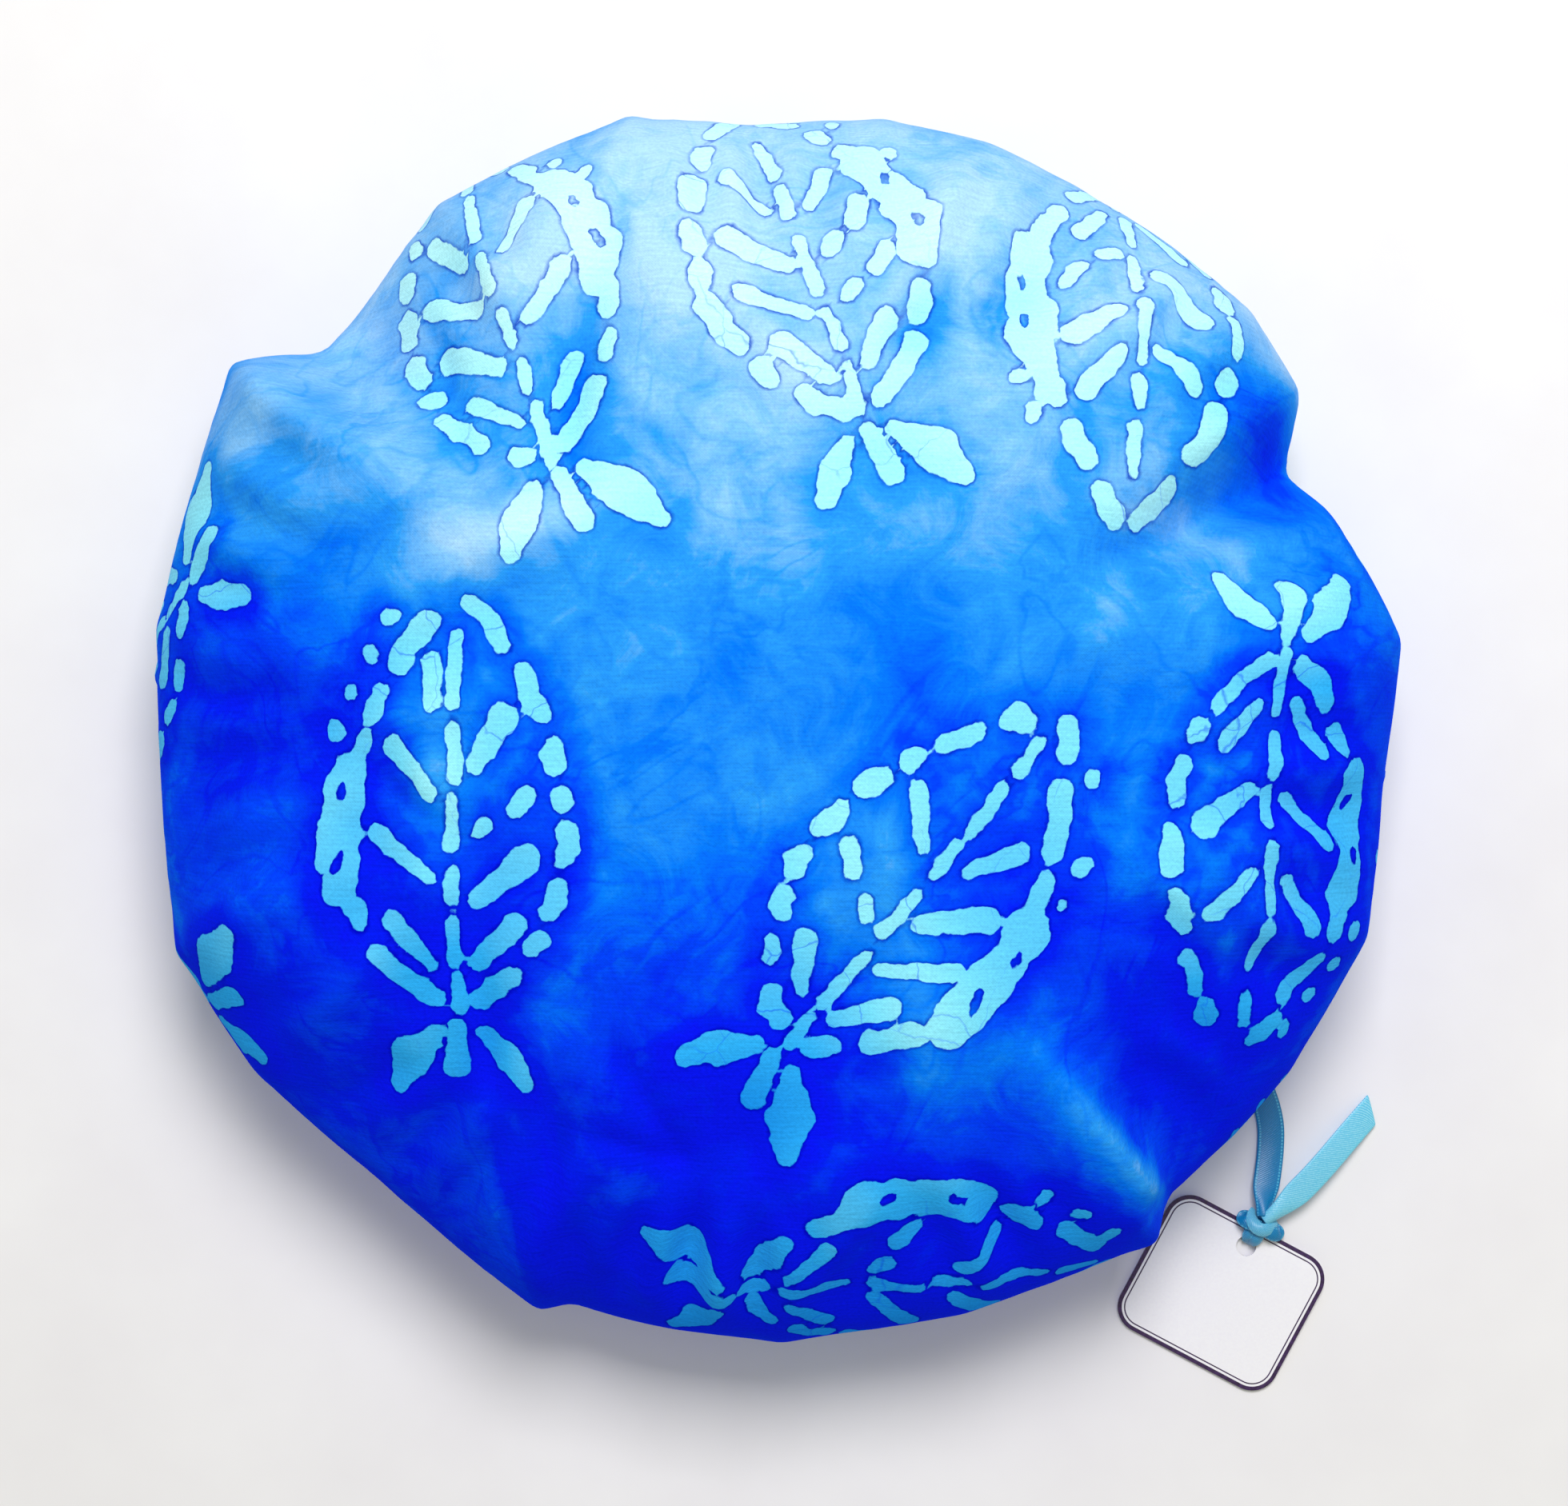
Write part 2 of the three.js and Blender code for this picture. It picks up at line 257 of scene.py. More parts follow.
@dataclass(frozen=True)
class BatikCotton(Finish):
    """Plain-weave cotton, wax-drawn and sponge-dyed: matt and mottled, with a crisp pale drawing."""

    name: str = "batik_cotton"
    # Colours of the dyed ground and of the wax, from deep to pale. The lightness that picks them holds
    # painted light from the far side and painted shade on the near side and in creases, so the wax too is
    # painted pale far off and deep near.
    ground: tuple[str, ...] = ("0915F6", "051EF4", "0442FA", "0876F8", "2A98F6", "78BBF8", "A8D5FC")
    waxed: tuple[str, ...] = ("017EF2", "2FAFFA", "74DAFC", "A0EFFD", "C4F8FD")
    # Dye that pools against the wax: it darkens whatever blue lies there.
    line: str = "3A62C8"
    # Dyed fibre ends that catch the light on folds seen edge on.
    nap: str = "2E60FF"
    # Yarns of such cotton are 0.3 mm apart, drawn at 0.55 mm so that the render shows them.
    yarn: float = 0.55
    # Length and breadth of the slubs in the yarns, in mm.
    slub: tuple[float, float] = (8.0, 0.6)
    # Spacing of the cracks in the wax, and how far they stray, in mm.
    cracks: tuple[float, float] = (21.0, 9.0)
    # Noises over the flat cloth: size in mm, detail, roughness and distortion.
    noises: tuple[tuple[str, float, float, float, float], ...] = (
        ("blots", 62, 4, 0.58, 0.8), ("sponge", 15, 6, 0.7, 1.1), ("tide", 44, 3, 0.55, 1.4),
        ("slow", 4.2, 1, 0.5, 0), ("fine", 1.1, 2, 0.5, 0), ("stray", 9, 3, 0.5, 0),
        ("speck", 0.7, 1, 0.5, 0))
    # Strength of the noises that mottle the dye, and reach in mm of those that make the wax's edge waver.
    mottles: tuple[tuple[str, float], ...] = (("blots", 0.7), ("sponge", 0.42))
    wavers: tuple[tuple[str, float], ...] = (("slow", 2.0), ("fine", 0.5))
    # Wax, dye line and dark halo at that edge: from and to in mm, strength and easing.
    bands: tuple[tuple[float, float, float, str], ...] = (
        (1.1, 1.36, 1.0, "SMOOTHSTEP"), (1.36, 2.0, 1.0, "LINEAR"), (1.4, 9.0, 0.6, "SMOOTHSTEP"))

    def make(self) -> bpy.types.Material:
        """Builds the material from the cloth's flat coordinates and its distance to the wax, both in mm.

        Returns:
            The material.
        """
        material = self.start()
        tree = material.node_tree
        flat = add(tree, "Attribute", out="Vector", attribute_name="flat_mm")
        edge = add(tree, "Attribute", out="Fac", attribute_name="wax_mm")
        # The dye attribute holds the dye's lightness with painted light and shade: pale far off, deep near,
        # darker in creases and paler on ridges.
        depth = dye_light_level = add(tree, "Attribute", out="Fac", attribute_name="dye")
        noise = {}
        for part, size, detail, rough, bend in self.noises:
            noise[part] = add(tree, "TexNoise", {"Vector": flat, "Scale": 1 / size, "Detail": detail,
                                                 "Roughness": rough, "Distortion": bend}, out="Fac")

        for part, strength in self.mottles:
            mottle = add(tree, "Math", {0: noise[part], 1: 0.5}, operation="SUBTRACT")
            depth = add(tree, "Math", {0: mottle, 1: strength, 2: depth}, operation="MULTIPLY_ADD")
        for part, reach in self.wavers:
            edge = add(tree, "Math", {0: noise[part], 1: reach, 2: edge}, operation="MULTIPLY_ADD")
        waxed, rim, halo = (add(tree, "MapRange", {"Value": edge, 1: low, 2: high, 3: strength, 4: 0.0},
                                interpolation_type=easing) for low, high, strength, easing in self.bands)
        dark = add(tree, "Math", {0: 1.05, 1: dye_light_level}, operation="SUBTRACT", use_clamp=True)
        for share in (noise["blots"], dark):
            halo = add(tree, "Math", {0: halo, 1: share}, operation="MULTIPLY")
        tide = add(tree, "Math", {0: noise["tide"], 1: 0.52}, operation="SUBTRACT")
        tide = add(tree, "Math", {0: tide}, operation="ABSOLUTE")
        tide = add(tree, "MapRange", {"Value": tide, 1: 0.0, 2: 0.03, 3: 0.1, 4: 0.0},
                   interpolation_type="SMOOTHSTEP")
        tide = add(tree, "Math", {0: tide, 1: noise["sponge"]}, operation="MULTIPLY")
        for taken in (halo, tide):
            depth = add(tree, "Math", {0: depth, 1: taken}, operation="SUBTRACT")

        colours = []
        # Both ramps are read at that painted light and shade, so the wax, too, runs from pale far off to deep
        # near.
        for level, stops in ((depth, self.ground), (dye_light_level, self.waxed)):
            colours.append(add(tree, "ValToRGB", {"Fac": level}))
            ramp = colours[-1].node.color_ramp.elements
            for i, colour in enumerate(stops[1:-1], 1):
                ramp.new(i / (len(stops) - 1)).color = linear(colour)
            ramp[0].color, ramp[len(stops) - 1].color = linear(stops[0]), linear(stops[-1])
        dye_light_and_shade, pale = colours
        line = add(tree, "MapRange", {"Value": noise["slow"], 1: 0.3, 2: 0.6, 3: 0.35, 4: 0.95})
        line = add(tree, "Math", {0: rim, 1: line}, operation="MULTIPLY")
        dye_light_and_shade = add(tree, "Mix", {"Factor": line, "A": dye_light_and_shade, "B": linear(self.line)}, out="Result",
                   data_type="RGBA", blend_type="MULTIPLY")

        spacing, stray = self.cracks
        bent = noise["stray"].node.outputs["Color"]
        bent = add(tree, "VectorMath", {0: bent, 1: (stray, stray, 0.0), 2: flat}, operation="MULTIPLY_ADD")
        crack = add(tree, "TexVoronoi", {"Vector": bent, "Scale": 1 / spacing}, feature="DISTANCE_TO_EDGE")
        crack = add(tree, "MapRange", {"Value": crack, 1: 0.0, 2: 0.01, 3: 0.6, 4: 0.0})
        sparse = add(tree, "MapRange", {"Value": noise["blots"], 1: 0.46, 2: 0.6})
        crack = add(tree, "Math", {0: crack, 1: sparse}, operation="MULTIPLY")
        pale = add(tree, "Mix", {"Factor": crack, "A": pale, "B": linear(self.ground[2])}, out="Result",
                   data_type="RGBA")
        cloth = add(tree, "Mix", {"Factor": waxed, "A": dye_light_and_shade, "B": pale}, out="Result", data_type="RGBA")

        split = add(tree, "SeparateXYZ", {0: flat}).node.outputs
        yarns = []
        for axis in ("X", "Y"):
            phase = add(tree, "Math", {0: split[axis], 1: FULL_TURN / self.yarn}, operation="MULTIPLY")
            yarns.append(add(tree, "Math", {0: phase}, operation="SINE"))
        weave = add(tree, "Math", {0: yarns[0], 1: yarns[1]}, operation="MULTIPLY")
        combed = add(tree, "Mapping", {"Vector": flat, "Scale": (1 / self.slub[0], 1 / self.slub[1], 1)})
        slub = add(tree, "TexNoise", {"Vector": combed, "Scale": 1.0, "Detail": 2.0}, out="Fac")
        thread = add(tree, "Math", {0: weave, 1: 0.12, 2: slub}, operation="MULTIPLY_ADD")
        thread = add(tree, "Math", {0: thread, 1: noise["speck"]}, operation="ADD")
        shade = add(tree, "MapRange", {"Value": thread, 1: 0.6, 2: 1.4, 3: 0.86, 4: 1.14}, clamp=False)
        cloth = add(tree, "HueSaturation", {"Value": shade, "Color": cloth})
        return self.close(material, cloth, thread, (0.28, 0.3 * MM), {
            "Roughness": 0.82, "Specular IOR Level": 0.0, "Sheen Weight": 0.3, "Sheen Roughness": 0.4,
            "Sheen Tint": linear(self.nap)})


@dataclass(frozen=True)
class CottonTape(Finish):
    """Plain-woven cotton tape: even colour, fine weave, faint creases."""

    name: str = "casing_tape"
    colour: str = "0E3FD0"
    shadow: str = "0A2A9C"
    # Yarns of such tape are 0.35 mm apart, drawn at 0.6 mm so that the render shows them.
    yarn: float = 0.6
    crease: float = 14.0

    def make(self) -> bpy.types.Material:
        """Builds the material on Object coordinates.

        Returns:
            The material.
        """
        material = self.start()
        tree = material.node_tree
        place = add(tree, "TexCoord", out="Object")
        cloudy = add(tree, "TexNoise", {"Vector": place, "Scale": 1 / (self.crease * MM), "Detail": 4.0},
                     out="Fac")
        weave = add(tree, "TexVoronoi", {"Vector": place, "Scale": 1 / (self.yarn * MM), "Randomness": 0.35},
                    out="Distance")
        share = add(tree, "Math", {0: cloudy, 1: weave}, operation="MULTIPLY")
        share = add(tree, "MapRange", {"Value": share, 1: 0.05, 2: 0.5})
        colour = add(tree, "Mix", {"Factor": share, "A": linear(self.colour), "B": linear(self.shadow)},
                     out="Result", data_type="RGBA")
        height = add(tree, "Math", {0: cloudy, 1: 2.0, 2: weave}, operation="MULTIPLY_ADD")
        return self.close(material, colour, height, (0.3, self.yarn * MM * 0.5),
                          {"Roughness": 0.85, "Sheen Weight": 0.1})


@dataclass(frozen=True)
class SatinRibbon(Finish):
    """Polyester satin with twill flecks and a firm stitched edge, in two painted copies: a pale, painted-lit
    face where it rises to the lamp, and a deeper, painted-shade copy where it lies in the cap's shade.
    """

    name: str = "satin_ribbon"
    # Painted shade and painted light: the same satin as a deep copy for the run in the cap's shade and a pale
    # copy for the tail that rises to the lamp.
    shaded_satin: tuple[str, str] = ("0E86BE", "0670A8")
    face: tuple[str, str] = ("9ADDF0", "5CC0E2")
    edge: str = "6ED4EE"
    # Floats of narrow satin are 0.2 mm apart, drawn at 0.42 mm so that the render shows them.
    float_pitch: float = 0.42
    float_turn: float = 0.62
    # Stitches of the edge: distance from the ribbon's middle, half breadth and spacing, in mm.
    selvedge: tuple[float, float, float] = (2.5, 0.22, 0.7)

    def make(self) -> bpy.types.Material:
        """Builds the material from the ribbon's own map: mm along, mm across, and 1 where the painted-lit
        copy shows, 0 where the painted-shade one does.

        Returns:
            The material.
        """
        material = self.start()
        tree = material.node_tree
        laid = add(tree, "Attribute", out="Vector", attribute_name="laid_mm")
        split = add(tree, "SeparateXYZ", {0: laid}).node.outputs
        slant = add(tree, "Mapping", {"Vector": laid, "Rotation": (0, 0, self.float_turn)})
        twill = add(tree, "TexWave", {"Vector": slant, "Scale": WAVE_PITCH / self.float_pitch,
                                      "Distortion": 1.2, "Detail": 2.0, "Detail Scale": 1.5},
                    out="Fac", bands_direction="X")
        fleck = add(tree, "TexNoise", {"Vector": laid, "Scale": 2.2, "Detail": 2.0}, out="Fac")
        silk = add(tree, "Math", {0: twill, 1: fleck}, operation="MULTIPLY")
        at, half, spacing = self.selvedge
        away = add(tree, "Math", {0: split["Y"]}, operation="ABSOLUTE")
        edge = add(tree, "Math", {0: away, 1: at, 2: half}, operation="COMPARE")
        step = add(tree, "Math", {0: split["X"], 1: FULL_TURN / spacing}, operation="MULTIPLY")
        picot = add(tree, "Math", {0: step}, operation="SINE")
        picot = add(tree, "MapRange", {"Value": picot, 1: -0.6, 2: 0.6, 3: 0.1, 4: 0.6})
        edge = add(tree, "Math", {0: edge, 1: picot}, operation="MULTIPLY")
        share = add(tree, "MapRange", {"Value": silk, 1: 0.12, 2: 0.55})
        shaded_satin, face = (add(tree, "Mix", {"Factor": share, "A": linear(dark), "B": linear(light)}, out="Result",
                          data_type="RGBA") for light, dark in (self.shaded_satin, self.face))
        colour = add(tree, "Mix", {"Factor": split["Z"], "A": shaded_satin, "B": face}, out="Result",
                     data_type="RGBA")
        colour = add(tree, "Mix", {"Factor": edge, "A": colour, "B": linear(self.edge)}, out="Result",
                     data_type="RGBA")
        height = add(tree, "Math", {0: edge, 1: 1.6, 2: silk}, operation="MULTIPLY_ADD")
        return self.close(material, colour, height, (0.35, 0.12 * MM),
                          {"Roughness": 0.3, "Specular IOR Level": 0.5, "Anisotropic": 0.4})


@dataclass(frozen=True)
class Braid(Finish):
    """Braided polyester elastic: chalky white ribs that run along it, crossed by slanting yarns."""

    name: str = "braided_elastic"
    colour: str = "F1EFE8"
    shadow: str = "BDBCB6"
    rib: float = 1.0
    yarn: float = 0.5

    def make(self) -> bpy.types.Material:
        """Builds the material on Object coordinates, as rings about the mouth.

        Returns:
            The material.
        """
        material = self.start()
        tree = material.node_tree
        place = add(tree, "TexCoord", out="Object")
        ribs = add(tree, "TexWave", {"Vector": place, "Scale": WAVE_PITCH / (self.rib * MM),
                                     "Distortion": 0.3}, out="Fac", wave_type="RINGS", rings_direction="Z")
        yarns = add(tree, "TexNoise", {"Vector": place, "Scale": 1 / (self.yarn * MM), "Detail": 2.0},
                    out="Fac")
        braid = add(tree, "Math", {0: ribs, 1: yarns}, operation="MULTIPLY")
        colour = add(tree, "Mix", {"Factor": braid, "A": linear(self.shadow), "B": linear(self.colour)},
                     out="Result", data_type="RGBA")
        return self.close(material, colour, braid, (0.5, 0.2 * MM), {"Roughness": 0.8})


@dataclass(frozen=True)
class SmoothStock(Finish):
    """Board, ink, coated cloth, thread or painted floor: one colour with a faint mottle and grain."""

    colour: str
    mottle: str
    grain: float
    roughness: float
    relief: float = 0.02

    def make(self) -> bpy.types.Material:
        """Builds the material on Object coordinates, with grain and relief in mm.

        Returns:
            The material.
        """
        material = self.start()
        tree = material.node_tree
        place = add(tree, "TexCoord", out="Object")
        grain = add(tree, "TexNoise", {"Vector": place, "Scale": 1 / (self.grain * MM), "Detail": 4.0,
                                       "Roughness": 0.6}, out="Fac")
        share = add(tree, "MapRange", {"Value": grain, 1: 0.35, 2: 0.75})
        colour = add(tree, "Mix", {"Factor": share, "A": linear(self.colour), "B": linear(self.mottle)},
                     out="Result", data_type="RGBA")
        return self.close(material, colour, grain, (0.25, self.relief * MM), {"Roughness": self.roughness})


@dataclass
class DyeAndPaintedLight:
    """Depth of the sponged dye over the flat cloth, with painted light and shade in it: dark near the viewer,
    pale far off, partly dye and partly painted light from the far side and painted shade on the near side.
    Sizes in mm.
    """

    # Lightness along the cloth, from the near edge to the far one: partly dye, partly painted light and
    # shade.
    far: tuple[float, ...] = (-215, -135, -105, -75, -46, -18, 8, 38, 66, 95, 215)
    light: tuple[float, ...] = (0.05, 0.09, 0.16, 0.23, 0.35, 0.47, 0.54, 0.72, 0.86, 0.93, 0.98)
    # Pools of deeper or paler dye, some of them painted shade and painted light on folds, such as the deep
    # one in the valley at the right notch: x, y, length, breadth, turn in degrees, and what they add.
    dye_and_shade_pools: tuple[tuple[float, ...], ...] = (
        (-108, 18, 48, 34, 60, -0.32), (-86, -48, 40, 18, 20, -0.12), (-66, -12, 30, 7, 100, 0.14),
        (-58, 40, 32, 6, 20, 0.16), (24, -52, 34, 15, 110, 0.26), (-8, -14, 44, 20, 0, 0.1),
        (126, 2, 40, 28, 60, -0.24), (96, 34, 26, 10, -25, 0.16), (112, 62, 24, 13, -25, -0.55),
        (-128, 78, 20, 14, 40, -0.25), (94, -74, 30, 13, -49, -0.14), (-48, -70, 22, 9, 100, 0.12),
        (52, -80, 30, 15, -49, 0.08), (-12, -76, 16, 12, 0, -0.12))
    # Painted highlights along two fold ridges, with one hard side: as pools, with the hard side's breadth
    # after the breadth.
    ridges: tuple[tuple[float, ...], ...] = (
        (78, -95, 25, 9, 2.3, -49.5, 0.34), (-58, -113, 27, 11, 2.2, -77, 0.2))

    def depth(self, flat: np.ndarray) -> np.ndarray:
        """Lightness of the dye, with its painted light and shade.

        Args:
            flat: Points of the flat cloth, one row each.

        Returns:
            About 0 for the deepest blue and 1 for the palest.
        """
        x, y = flat.T
        light = np.interp(y, self.far, self.light)
        soft = [(*pool[:4], *pool[3:]) for pool in self.dye_and_shade_pools]
        for at_x, at_y, length, breadth, hard, turn, adds in (*soft, *self.ridges):
            cos, sin = math.cos(math.radians(turn)), math.sin(math.radians(turn))
            u, v = (x - at_x) * cos + (y - at_y) * sin, (y - at_y) * cos - (x - at_x) * sin
            light += adds * np.exp(-((u / length) ** 2) - (v / np.where(v > 0, hard, breadth)) ** 2)
        return light


@dataclass
class WaxPen:
    """Hand that draws tapered strokes of wax, each a little off its place. Sizes in mm."""

    rng: np.random.Generator
    shake: float = 0.4
    rows: list[tuple[float, ...]] = field(default_factory=list)

    def mark(self, x0: float, y0: float, x1: float, y1: float, r0: float, r1: float, kind: int = 1) -> None:
        """Adds a stroke with a radius at each end; its kind is 1 for wax and -1 for a bare spot."""
        off = self.rng.normal(0, self.shake, 4)
        self.rows.append((x0 + off[0], y0 + off[1], x1 + off[2], y1 + off[3], r0, r1, kind))


@dataclass
class LeafPrint:
    """Wax drawing on the flat cloth: tossed leaves in short strokes, solid patches and dots. Sizes in mm."""

    length: float = 86.0
    width: float = 46.0
    # Reach of the leaves' middles from the cloth's own, and the least room between leaves.
    reach: float = 214.0
    clear: float = 2.0
    # Distance that is still told apart from far off.
    far_off: float = 25.0
    seed: int = 83
    tries: int = 6000

    def half_width(self, along: float) -> float:
        """Half the leaf's width at a share of the way from its base to its tip."""
        return self.width / 2 * max(math.sin(math.pi * min(max(along, 0.0), 1.0) ** 0.82), 0.0) ** 0.8

    def edge(self, pen: WaxPen, side: int) -> None:
        """Draws one edge of a leaf in dashes.

        Args:
            pen: The hand that draws.
            side: Side of the midrib, -1 or 1.
        """
        at, radius = 0.02, pen.rng.uniform(1.7, 2.5)
        while at < 0.95:
            end = min(at + pen.rng.uniform(0.02, 0.12), 0.985)
            middle = (at + end) / 2
            for a, b in ((at, middle), (middle, end)):
                start, stop = side * self.half_width(a), side * self.half_width(b)
                pen.mark(a * self.length, start, b * self.length, stop, radius,
                         radius * pen.rng.uniform(0.75, 1.2))
            after = pen.rng.uniform(1.7, 2.6)
            at = end + (radius + after + pen.rng.uniform(1.0, 1.8)) / self.length
            radius = after

    def veins(self, pen: WaxPen, side: int) -> None:
        """Draws the side veins of one half of a leaf, some of them broken.

        Args:
            pen: The hand that draws.
            side: Side of the midrib, -1 or 1.
        """
        count = int(pen.rng.integers(4, 6))
        lean = 0.1 * self.length
        for i in range(count):
            root = 0.12 + 0.62 * i / (count - 1) + pen.rng.uniform(-0.015, 0.015)
            thick = pen.rng.uniform(1.7, 2.6)
            inner, outer = 4.6, self.half_width(root + 0.1) - 5.2 - thick
            base = root * self.length
            if outer - inner > 9 and pen.rng.random() < 0.4:
                middle = (inner + outer) / 2
                pen.mark(base, side * inner, base + lean * 0.3, side * (middle - 2.9), thick * 0.8, thick)
                pen.mark(base + lean * 0.6, side * (middle + 2.4), base + lean, side * outer,
                         thick, thick * 1.1)
            elif outer > inner:
                pen.mark(base, side * inner, base + lean, side * outer, thick * 0.75, thick * 1.15)

    def midrib(self, pen: WaxPen) -> None:
        """Draws the dashes of the midrib.

        Args:
            pen: The hand that draws.
        """
        at = 0.0
        while at < 0.86:
            end = min(at + pen.rng.uniform(0.06, 0.16), 0.92)
            pen.mark(at * self.length, 0, end * self.length, 0, 1.6, 1.3)
            at = end + pen.rng.uniform(4.4, 5.4) / self.length

    def patch(self, pen: WaxPen, full: int) -> None:
        """Draws the solid patch on one edge, with two bare spots.

        Args:
            pen: The hand that draws.
            full: Side of the patch, -1 or 1.
        """
        begin = pen.rng.uniform(0.26, 0.42)
        for i in range(4):
            at, end = begin + 0.075 * i, begin + 0.075 * i + 0.07
            pen.mark(at * self.length, full * (self.half_width(at) + pen.rng.uniform(-0.8, 2.0)),
                     end * self.length, full * (self.half_width(end) + 0.8),
                     pen.rng.uniform(3.4, 5.2), pen.rng.uniform(3.4, 5.2))
        for shift in (0.05, 0.2):
            hole = begin + shift + pen.rng.uniform(-0.03, 0.03)
            pen.mark(hole * self.length, full * (self.half_width(hole) + 1.4), (hole + 0.03) * self.length,
                     full * (self.half_width(hole) + 1.0), 1.1, 0.8, -1)

    def stalk(self, pen: WaxPen, full: int) -> None:
        """Draws the stalk and its two leaflets.

        Args:
            pen: The hand that draws.
            full: Side of the larger leaflet, -1 or 1.
        """
        size = self.length
        pen.mark(-0.05 * size, 0, -0.17 * size, full * 2.0, 1.9, 2.6)
        for side in (-1, 1):
            grown = pen.rng.uniform(0.85, 1.05) * (1.0 if side == full else 0.74)
            belly, tip = (-0.06 - 0.085 * grown) * size, (-0.06 - 0.17 * grown) * size
            wide = side * (5.0 + 6.5 * grown)
            pen.mark(-0.06 * size, side * 5.0, belly, wide, 1.8, 5.0 * grown)
            pen.mark(belly, wide, tip, side * (5.0 + 11.5 * grown), 5.0 * grown, 2.2)

    def dots(self, pen: WaxPen, full: int) -> None:
        """Dots the cloth outside the leaf's tip.

        Args:
            pen: The hand that draws.
            full: Side of the dots, -1 or 1.
        """
        for at in np.arange(0.66, 0.97, 0.09):
            if pen.rng.random() < 0.85:
                out = self.half_width(at) + pen.rng.uniform(6.2, 7.2)
                pen.mark(at * self.length, full * out, at * self.length + 0.5, full * out,
                         pen.rng.uniform(1.3, 2.0), pen.rng.uniform(1.2, 1.9))

    def strokes(self, rng: np.random.Generator) -> np.ndarray:
        """Draws one leaf.

        Args:
            rng: Seeded generator for the hand's unevenness.

        Returns:
            Rows of start x, y, end x, y, start radius, end radius, and 1 for wax or -1 for a bare spot.
        """
        pen = WaxPen(rng)
        full = 1 if rng.random() < 0.5 else -1
        for side in (-1, 1):
            self.edge(pen, side)
            self.veins(pen, side)
        self.midrib(pen)
        self.patch(pen, full)
        self.stalk(pen, full)
        self.dots(pen, full)
        return np.array(pen.rows)

    def leaves(self) -> list[np.ndarray]:
        """Tosses leaves over the cloth so that none touch.

        Returns:
            Strokes of each leaf, in flat-cloth mm.
        """
        rng, hand = np.random.default_rng(self.seed), np.random.default_rng(self.seed + 1)
        spine = np.linspace(-0.22, 1.04, 11)
        room = np.array([max(self.half_width(u) + 5.0, 15.0 if u < 0.05 else 6.0) for u in spine])
        middle = np.array([0.42 * self.length, 0.0])
        placed: list[np.ndarray] = []
        taken = np.zeros((0, 3))
        for _ in range(self.tries):
            turn, spread = rng.uniform(0, FULL_TURN, 2)
            far = self.reach * math.sqrt(rng.random())
            cos, sin = math.cos(turn), math.sin(turn)
            spin = np.array([[cos, sin], [-sin, cos]])
            at = np.array([far * math.cos(spread), far * math.sin(spread)])
            bones = (np.column_stack([spine * self.length, np.zeros(len(spine))]) - middle) @ spin + at
            apart = np.linalg.norm(bones[:, None] - taken[None, :, :2], axis=2)
            apart = apart - room[:, None] - taken[None, :, 2]
            if apart.size and apart.min() < self.clear:
                continue
            drawn = self.strokes(hand)
            for start, stop in ((0, 2), (2, 4)):
                drawn[:, start:stop] = (drawn[:, start:stop] - middle) @ spin + at
            placed.append(drawn)
            taken = np.vstack([taken, np.column_stack([bones, room])])
        return placed

    def distance(self, flat: np.ndarray) -> np.ndarray:
        """Distance from each point to the wax.

        Args:
            flat: Points on the flat cloth, in mm, one row each.

        Returns:
            Distance in mm, below zero inside the wax, at most far_off.
        """
        found = np.full(len(flat), self.far_off)
        for leaf in self.leaves():
            low, high = leaf[:, :2].min(0) - 30, leaf[:, :2].max(0) + 30
            near = np.flatnonzero(((flat > low) & (flat < high)).all(1))
            if not len(near):
                continue
            p = flat[near]
            gaps = {1: np.full(len(near), self.far_off), -1: np.full(len(near), self.far_off)}
            for x0, y0, x1, y1, r0, r1, kind in leaf:
                start, run = np.array([x0, y0]), np.array([x1 - x0, y1 - y0])
                share = np.clip((p - start) @ run / max(run @ run, 1e-9), 0, 1)
                gap = np.linalg.norm(p - start - share[:, None] * run, axis=1) - (r0 + (r1 - r0) * share)
                gaps[int(kind)] = np.minimum(gaps[int(kind)], gap)
            found[near] = np.minimum(found[near], np.maximum(gaps[1], -gaps[-1]))
        return found


